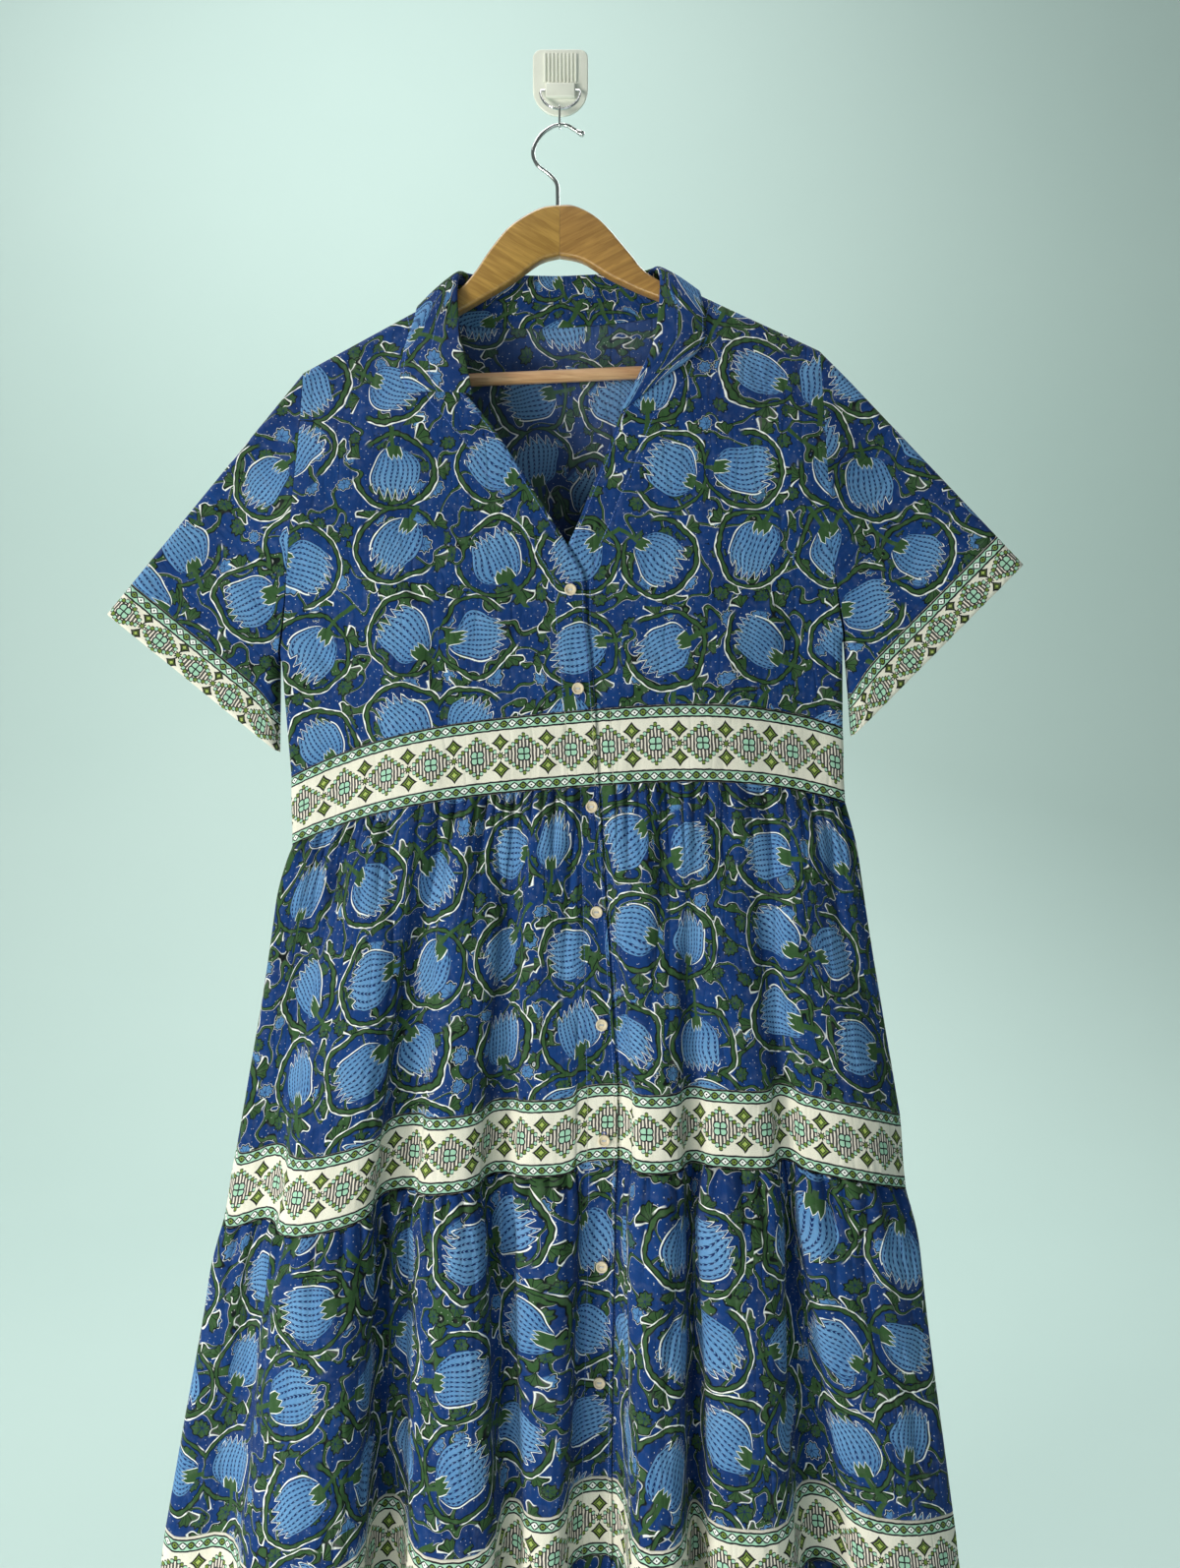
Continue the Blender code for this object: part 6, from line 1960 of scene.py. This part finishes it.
@dataclass(frozen=True)
class Hanger:
    """The wooden hanger: two mitred arms, the trouser bar and the wire hook."""

    thick: float = 13.0
    rim: float = 3.0
    wire: float = 1.75
    right_slope: float = -31.0
    left_slope: float = 28.0
    bar_slope: float = -2.6
    form: BodiceForm = BODICE

    def lean(self, z: float) -> float:
        """Return the y of the hanger's middle plane at a height."""
        return self.form.hang_y + self.form.hang_lean * (z - self.form.hang_top)

    def arm(self, side: str, outline: tuple[tuple[float, float], ...], material: bpy.types.Material) -> None:
        """Saw one arm, round its edges and lean it."""
        smooth = smooth_through(np.array(outline), 81)
        blank = flat_blank(smooth, self.thick)
        round_rims(blank, self.rim, 4, 1.0)
        for vertex in blank.data.vertices:
            vertex.co.y += (self.thick / 2.0 + self.lean(vertex.co.z / MM)) * MM
        finish_piece(blank, f"arm_{side}_wood", f"hanger_arm_{side}", material)

    def hook(self, material: bpy.types.Material) -> None:
        """Bend the hook from wire, with a swollen tip."""
        route = smooth_through(np.array(HOOK_ROUTE), 110)
        curve = bpy.data.curves.new("hook_wire", "CURVE")
        curve.dimensions = "3D"
        curve.bevel_depth = self.wire * MM
        curve.bevel_resolution = 5
        curve.use_fill_caps = True
        line = curve.splines.new("POLY")
        line.points.add(len(route) - 1)
        swell = np.interp(np.linspace(0.0, 1.0, len(route)), SWELL_PLACES, SWELL_SIZES)
        for point, (x, z), radius in zip(line.points, route, swell):
            point.co = (x * MM, self.lean(z) * MM, z * MM, 1.0)
            point.radius = radius
        wire = new_piece("hook_wire", curve)
        select_only(wire)
        bpy.ops.object.convert(target="MESH")
        wire = bpy.context.object
        bpy.ops.object.shade_smooth_by_angle(angle=math.radians(50.0))
        finish_piece(wire, "hook_wire", "hanger_hook", material)

    def make(self, chrome: bpy.types.Material) -> None:
        """Make the arms and the hook, and finish the bar."""
        right = VarnishedWood(self.right_slope, "#bf974c", "#9e7838")
        left = VarnishedWood(self.left_slope, "#bb8f4c", "#9c743c")
        bar = VarnishedWood(self.bar_slope, "#d8b086", "#bd9066")
        self.arm("right", RIGHT_ARM, right.make("varnished_wood_right"))
        self.arm("left", LEFT_ARM, left.make("varnished_wood_left"))
        self.hook(chrome)
        dress_node("hanger_bar", bar.make("varnished_wood_bar"))


@dataclass(frozen=True)
class WallHook:
    """The moulded wall plate with its ribs and boss, the half ring and the wire loop."""

    width: float = 50.4
    height: float = 61.2
    thick: float = 3.0
    corner: float = 8.0
    ribs: int = 9
    rib_pitch: float = 3.5
    rib_width: float = 2.1
    rib_rise: float = 1.7
    rib_length: float = 26.0
    rib_middle: float = 13.0
    # How deep the ribs and the boss are sunk in the plate, so that they join it
    sunk: float = 0.3
    boss_middle: float = -9.0
    boss_size: tuple[float, float, float] = (27.0, 5.6, 13.0)
    boss_off: float = 2.2
    soft_edge: float = 1.2

    def outline(self) -> np.ndarray:
        """Return the plate's outline: rounded corners at the top and a half circle at the foot."""
        half = self.width / 2.0
        top = self.height / 2.0
        arcs = ((half - self.corner, top - self.corner, self.corner, 0.0, 90.0, 9),
                (self.corner - half, top - self.corner, self.corner, 90.0, 180.0, 9),
                (0.0, half - top, half, 180.0, 360.0, 41))
        rows = []
        for centre_x, centre_z, radius, first, last, steps in arcs:
            for angle in np.radians(np.linspace(first, last, steps)):
                rows.append((centre_x + radius * math.cos(angle), centre_z + radius * math.sin(angle)))
        return np.array(rows)

    def block(self, centre: tuple[float, float, float], size: tuple[float, float, float],
              edge: float) -> bpy.types.Object:
        """Mould a block with soft edges."""
        bpy.ops.object.select_all(action="DESELECT")
        bpy.ops.mesh.primitive_cube_add(size=1.0, location=Vector(centre) * MM, scale=Vector(size) * MM)
        block = bpy.context.object
        bpy.ops.object.transform_apply(location=True, rotation=True, scale=True)
        switch_to("EDIT")
        bpy.ops.mesh.select_all(action="SELECT")
        bpy.ops.mesh.bevel(offset=edge * MM, segments=3, affect="EDGES")
        switch_to("OBJECT")
        bpy.ops.object.shade_smooth_by_angle(angle=math.radians(38.0))
        return block

    def make(self, chrome: bpy.types.Material) -> None:
        """Mould the plate and finish the ring and the loop."""
        plate = flat_blank(self.outline(), self.thick)
        round_rims(plate, 1.1, 3, 0.0)
        face = -self.thick
        parts = [self.block((0.0, face - self.boss_off, self.boss_middle), self.boss_size, self.soft_edge)]
        rib = self.block((0.0, face - self.rib_rise / 2.0 + self.sunk, self.rib_middle),
                         (self.rib_width, self.rib_rise + 2.0 * self.sunk, self.rib_length),
                         self.soft_edge / 2.0)
        for number in range(self.ribs):
            copy = new_piece("rib", rib.data.copy())
            aside = (number - (self.ribs - 1) / 2.0) * self.rib_pitch * MM
            copy.data.transform(Matrix.Translation((aside, 0.0, 0.0)))
            parts.append(copy)
        bpy.data.objects.remove(rib, do_unlink=True)
        bpy.ops.object.select_all(action="DESELECT")
        for part in parts:
            part.select_set(True)
        plate.select_set(True)
        bpy.context.view_layer.objects.active = plate
        bpy.ops.object.join()
        plastic = Moulded("#f1f3e8", "#e4e6da", 0.4, 12.0).make("moulded_white_plastic")
        finish_piece(plate, "plate_moulded", "wall_plate", plastic)
        for node in ("wall_ring", "wall_loop"):
            dress_node(node, chrome)


@dataclass(frozen=True)
class Lamp:
    """A square soft light, in metres and watts, that points at its aim."""

    name: str
    place: tuple[float, float, float]
    size: float
    power: float
    colour: str = "#ffffff"
    aim: tuple[float, float, float] = (0.0, 0.0, -0.7)

    def add(self) -> None:
        """Add the light."""
        data = bpy.data.lights.new(self.name, "AREA")
        data.size = self.size
        data.energy = self.power
        data.color = linear_colour(self.colour)[:3]
        lamp = new_piece(self.name, data)
        lamp.location = self.place
        lamp.rotation_euler = (Vector(self.aim) - Vector(self.place)).to_track_quat("-Z", "Y").to_euler()


# The wash lights the backdrop from above and behind the dress, brighter on the left
LAMPS = (
    Lamp("window", (-2.6, -2.1, -0.9), 0.7, 72.0, "#fffaf2"),
    Lamp("fill", (1.4, -2.8, -1.2), 2.0, 10.0, "#f4f8ff"),
    Lamp("low", (-0.8, -1.5, -1.55), 0.5, 13.0, "#fffaf2", (0.0, 0.0, -1.35)),
    Lamp("rear", (0.9, 1.9, 1.2), 1.2, 30.0),
    Lamp("backdrop_wash", (-1.0, 0.4, 2.9), 2.5, 136.0, aim=(-0.6, 3.8, -1.0)),
)


@dataclass(frozen=True)
class Stage:
    """A pale sheet behind and below the dress, the sky and the camera."""

    floor_z: float = -1640.0
    wall_y: float = 3800.0
    wall_top: float = 6000.0
    cove: float = 2200.0
    cove_steps: int = 16
    half_width: float = 6000.0
    front_y: float = -6000.0
    colour: str = "#cde2dc"
    patch_colour: str = "#c4dbd5"
    patch_scale: float = 0.8
    roughness: float = 0.9
    sky_colour: str = "#d6e6e2"
    sky_strength: float = 0.2
    camera_place: tuple[float, float, float] = (27.0, -1076.0, -640.0)
    lens: float = 27.0
    sensor: float = 36.0

    def backdrop(self) -> None:
        """Make the floor that curves up into the wall."""
        angles = np.linspace(-math.pi / 2.0, 0.0, self.cove_steps)
        centre_y = self.wall_y - self.cove
        centre_z = self.floor_z + self.cove
        cove = [(centre_y + self.cove * math.cos(a), centre_z + self.cove * math.sin(a)) for a in angles]
        profile = [(self.front_y, self.floor_z), *cove, (self.wall_y, self.wall_top)]
        vertices = [(side * self.half_width * MM, y * MM, z * MM) for y, z in profile for side in (-1.0, 1.0)]
        faces = [(2 * i, 2 * i + 1, 2 * i + 3, 2 * i + 2) for i in range(len(profile) - 1)]
        data = bpy.data.meshes.new("backdrop")
        data.from_pydata(vertices, [], faces)
        data.shade_smooth()
        sheet = new_piece("backdrop", data)
        material, tree = new_material("painted_backdrop")
        base = mixed(self.colour, self.patch_colour, object_place(tree).noise(self.patch_scale, 3.0))
        surface(tree, {"Base Color": base, "Roughness": self.roughness})
        data.materials.append(material)

    def lights(self) -> None:
        """Add the lights and the sky."""
        for lamp in LAMPS:
            lamp.add()
        world = bpy.data.worlds.new("room")
        world.use_nodes = True
        sky = world.node_tree.nodes["Background"]
        sky.inputs["Color"].default_value = linear_colour(self.sky_colour)
        sky.inputs["Strength"].default_value = self.sky_strength
        bpy.context.scene.world = world
        bpy.context.scene.view_settings.view_transform = "Standard"

    def camera(self) -> None:
        """Add the camera at the photograph's place."""
        data = bpy.data.cameras.new("camera")
        data.lens = self.lens
        data.sensor_width = self.sensor
        data.clip_start = 0.01
        camera = new_piece("camera", data)
        camera.location = Vector(self.camera_place) * MM
        camera.rotation_euler = (math.pi / 2.0, 0.0, 0.0)
        bpy.context.scene.camera = camera


def make_dress() -> None:
    """Sew the pieces from the top down, then set the buttons."""
    prints = {
        "floral_cotton": (FloralPrint(), "printed_cambric"),
        "border_cotton": (BorderPrint(), "border_cambric"),
        "cuff_cotton": (BorderPrint(middle=11.5, chains=(28.4,), rise=10.5, fall=1.6, star=6.0, star_off=8.5),
                        "cuff_cambric"),
    }
    tailor = Tailor({slot: (cotton.make(name, False), cotton.make(name + "_back", True))
                     for slot, (cotton, name) in prints.items()})
    bodice = Bodice()
    bodice.front(RIGHT, tailor)
    bodice.front(LEFT, tailor)
    bodice.yoke(tailor)
    bodice.back(tailor)
    Collar().make(tailor)
    for half in (RIGHT, LEFT):
        Sleeve(half).make(tailor)
    for ring in RINGS:
        for run in PanelRun:
            ring.make(run, tailor)
    cloths = [piece for piece in bpy.context.scene.objects if piece.name.endswith("front_right_cloth")]
    shell = Moulded("#e3d6bd", "#cdbb9c", 0.28, 3.0).make("polished_button_resin")
    Buttons().make(cloths, shell, SewingThread("#dfe2e6").make("white_thread"),
                   SewingThread("#3b57a6").make("blue_thread"))


def main() -> None:
    """Build the dress, dress the hanger, and set the stage."""
    logging.basicConfig(level=logging.INFO, format="%(name)s: %(message)s")
    stage = Stage()
    stage.camera()
    make_dress()
    chrome = ChromedWire().make("chromed_wire")
    Hanger().make(chrome)
    WallHook().make(chrome)
    stage.backdrop()
    stage.lights()
    LOG.info("stage set")


if __name__ == "__main__":
    main()
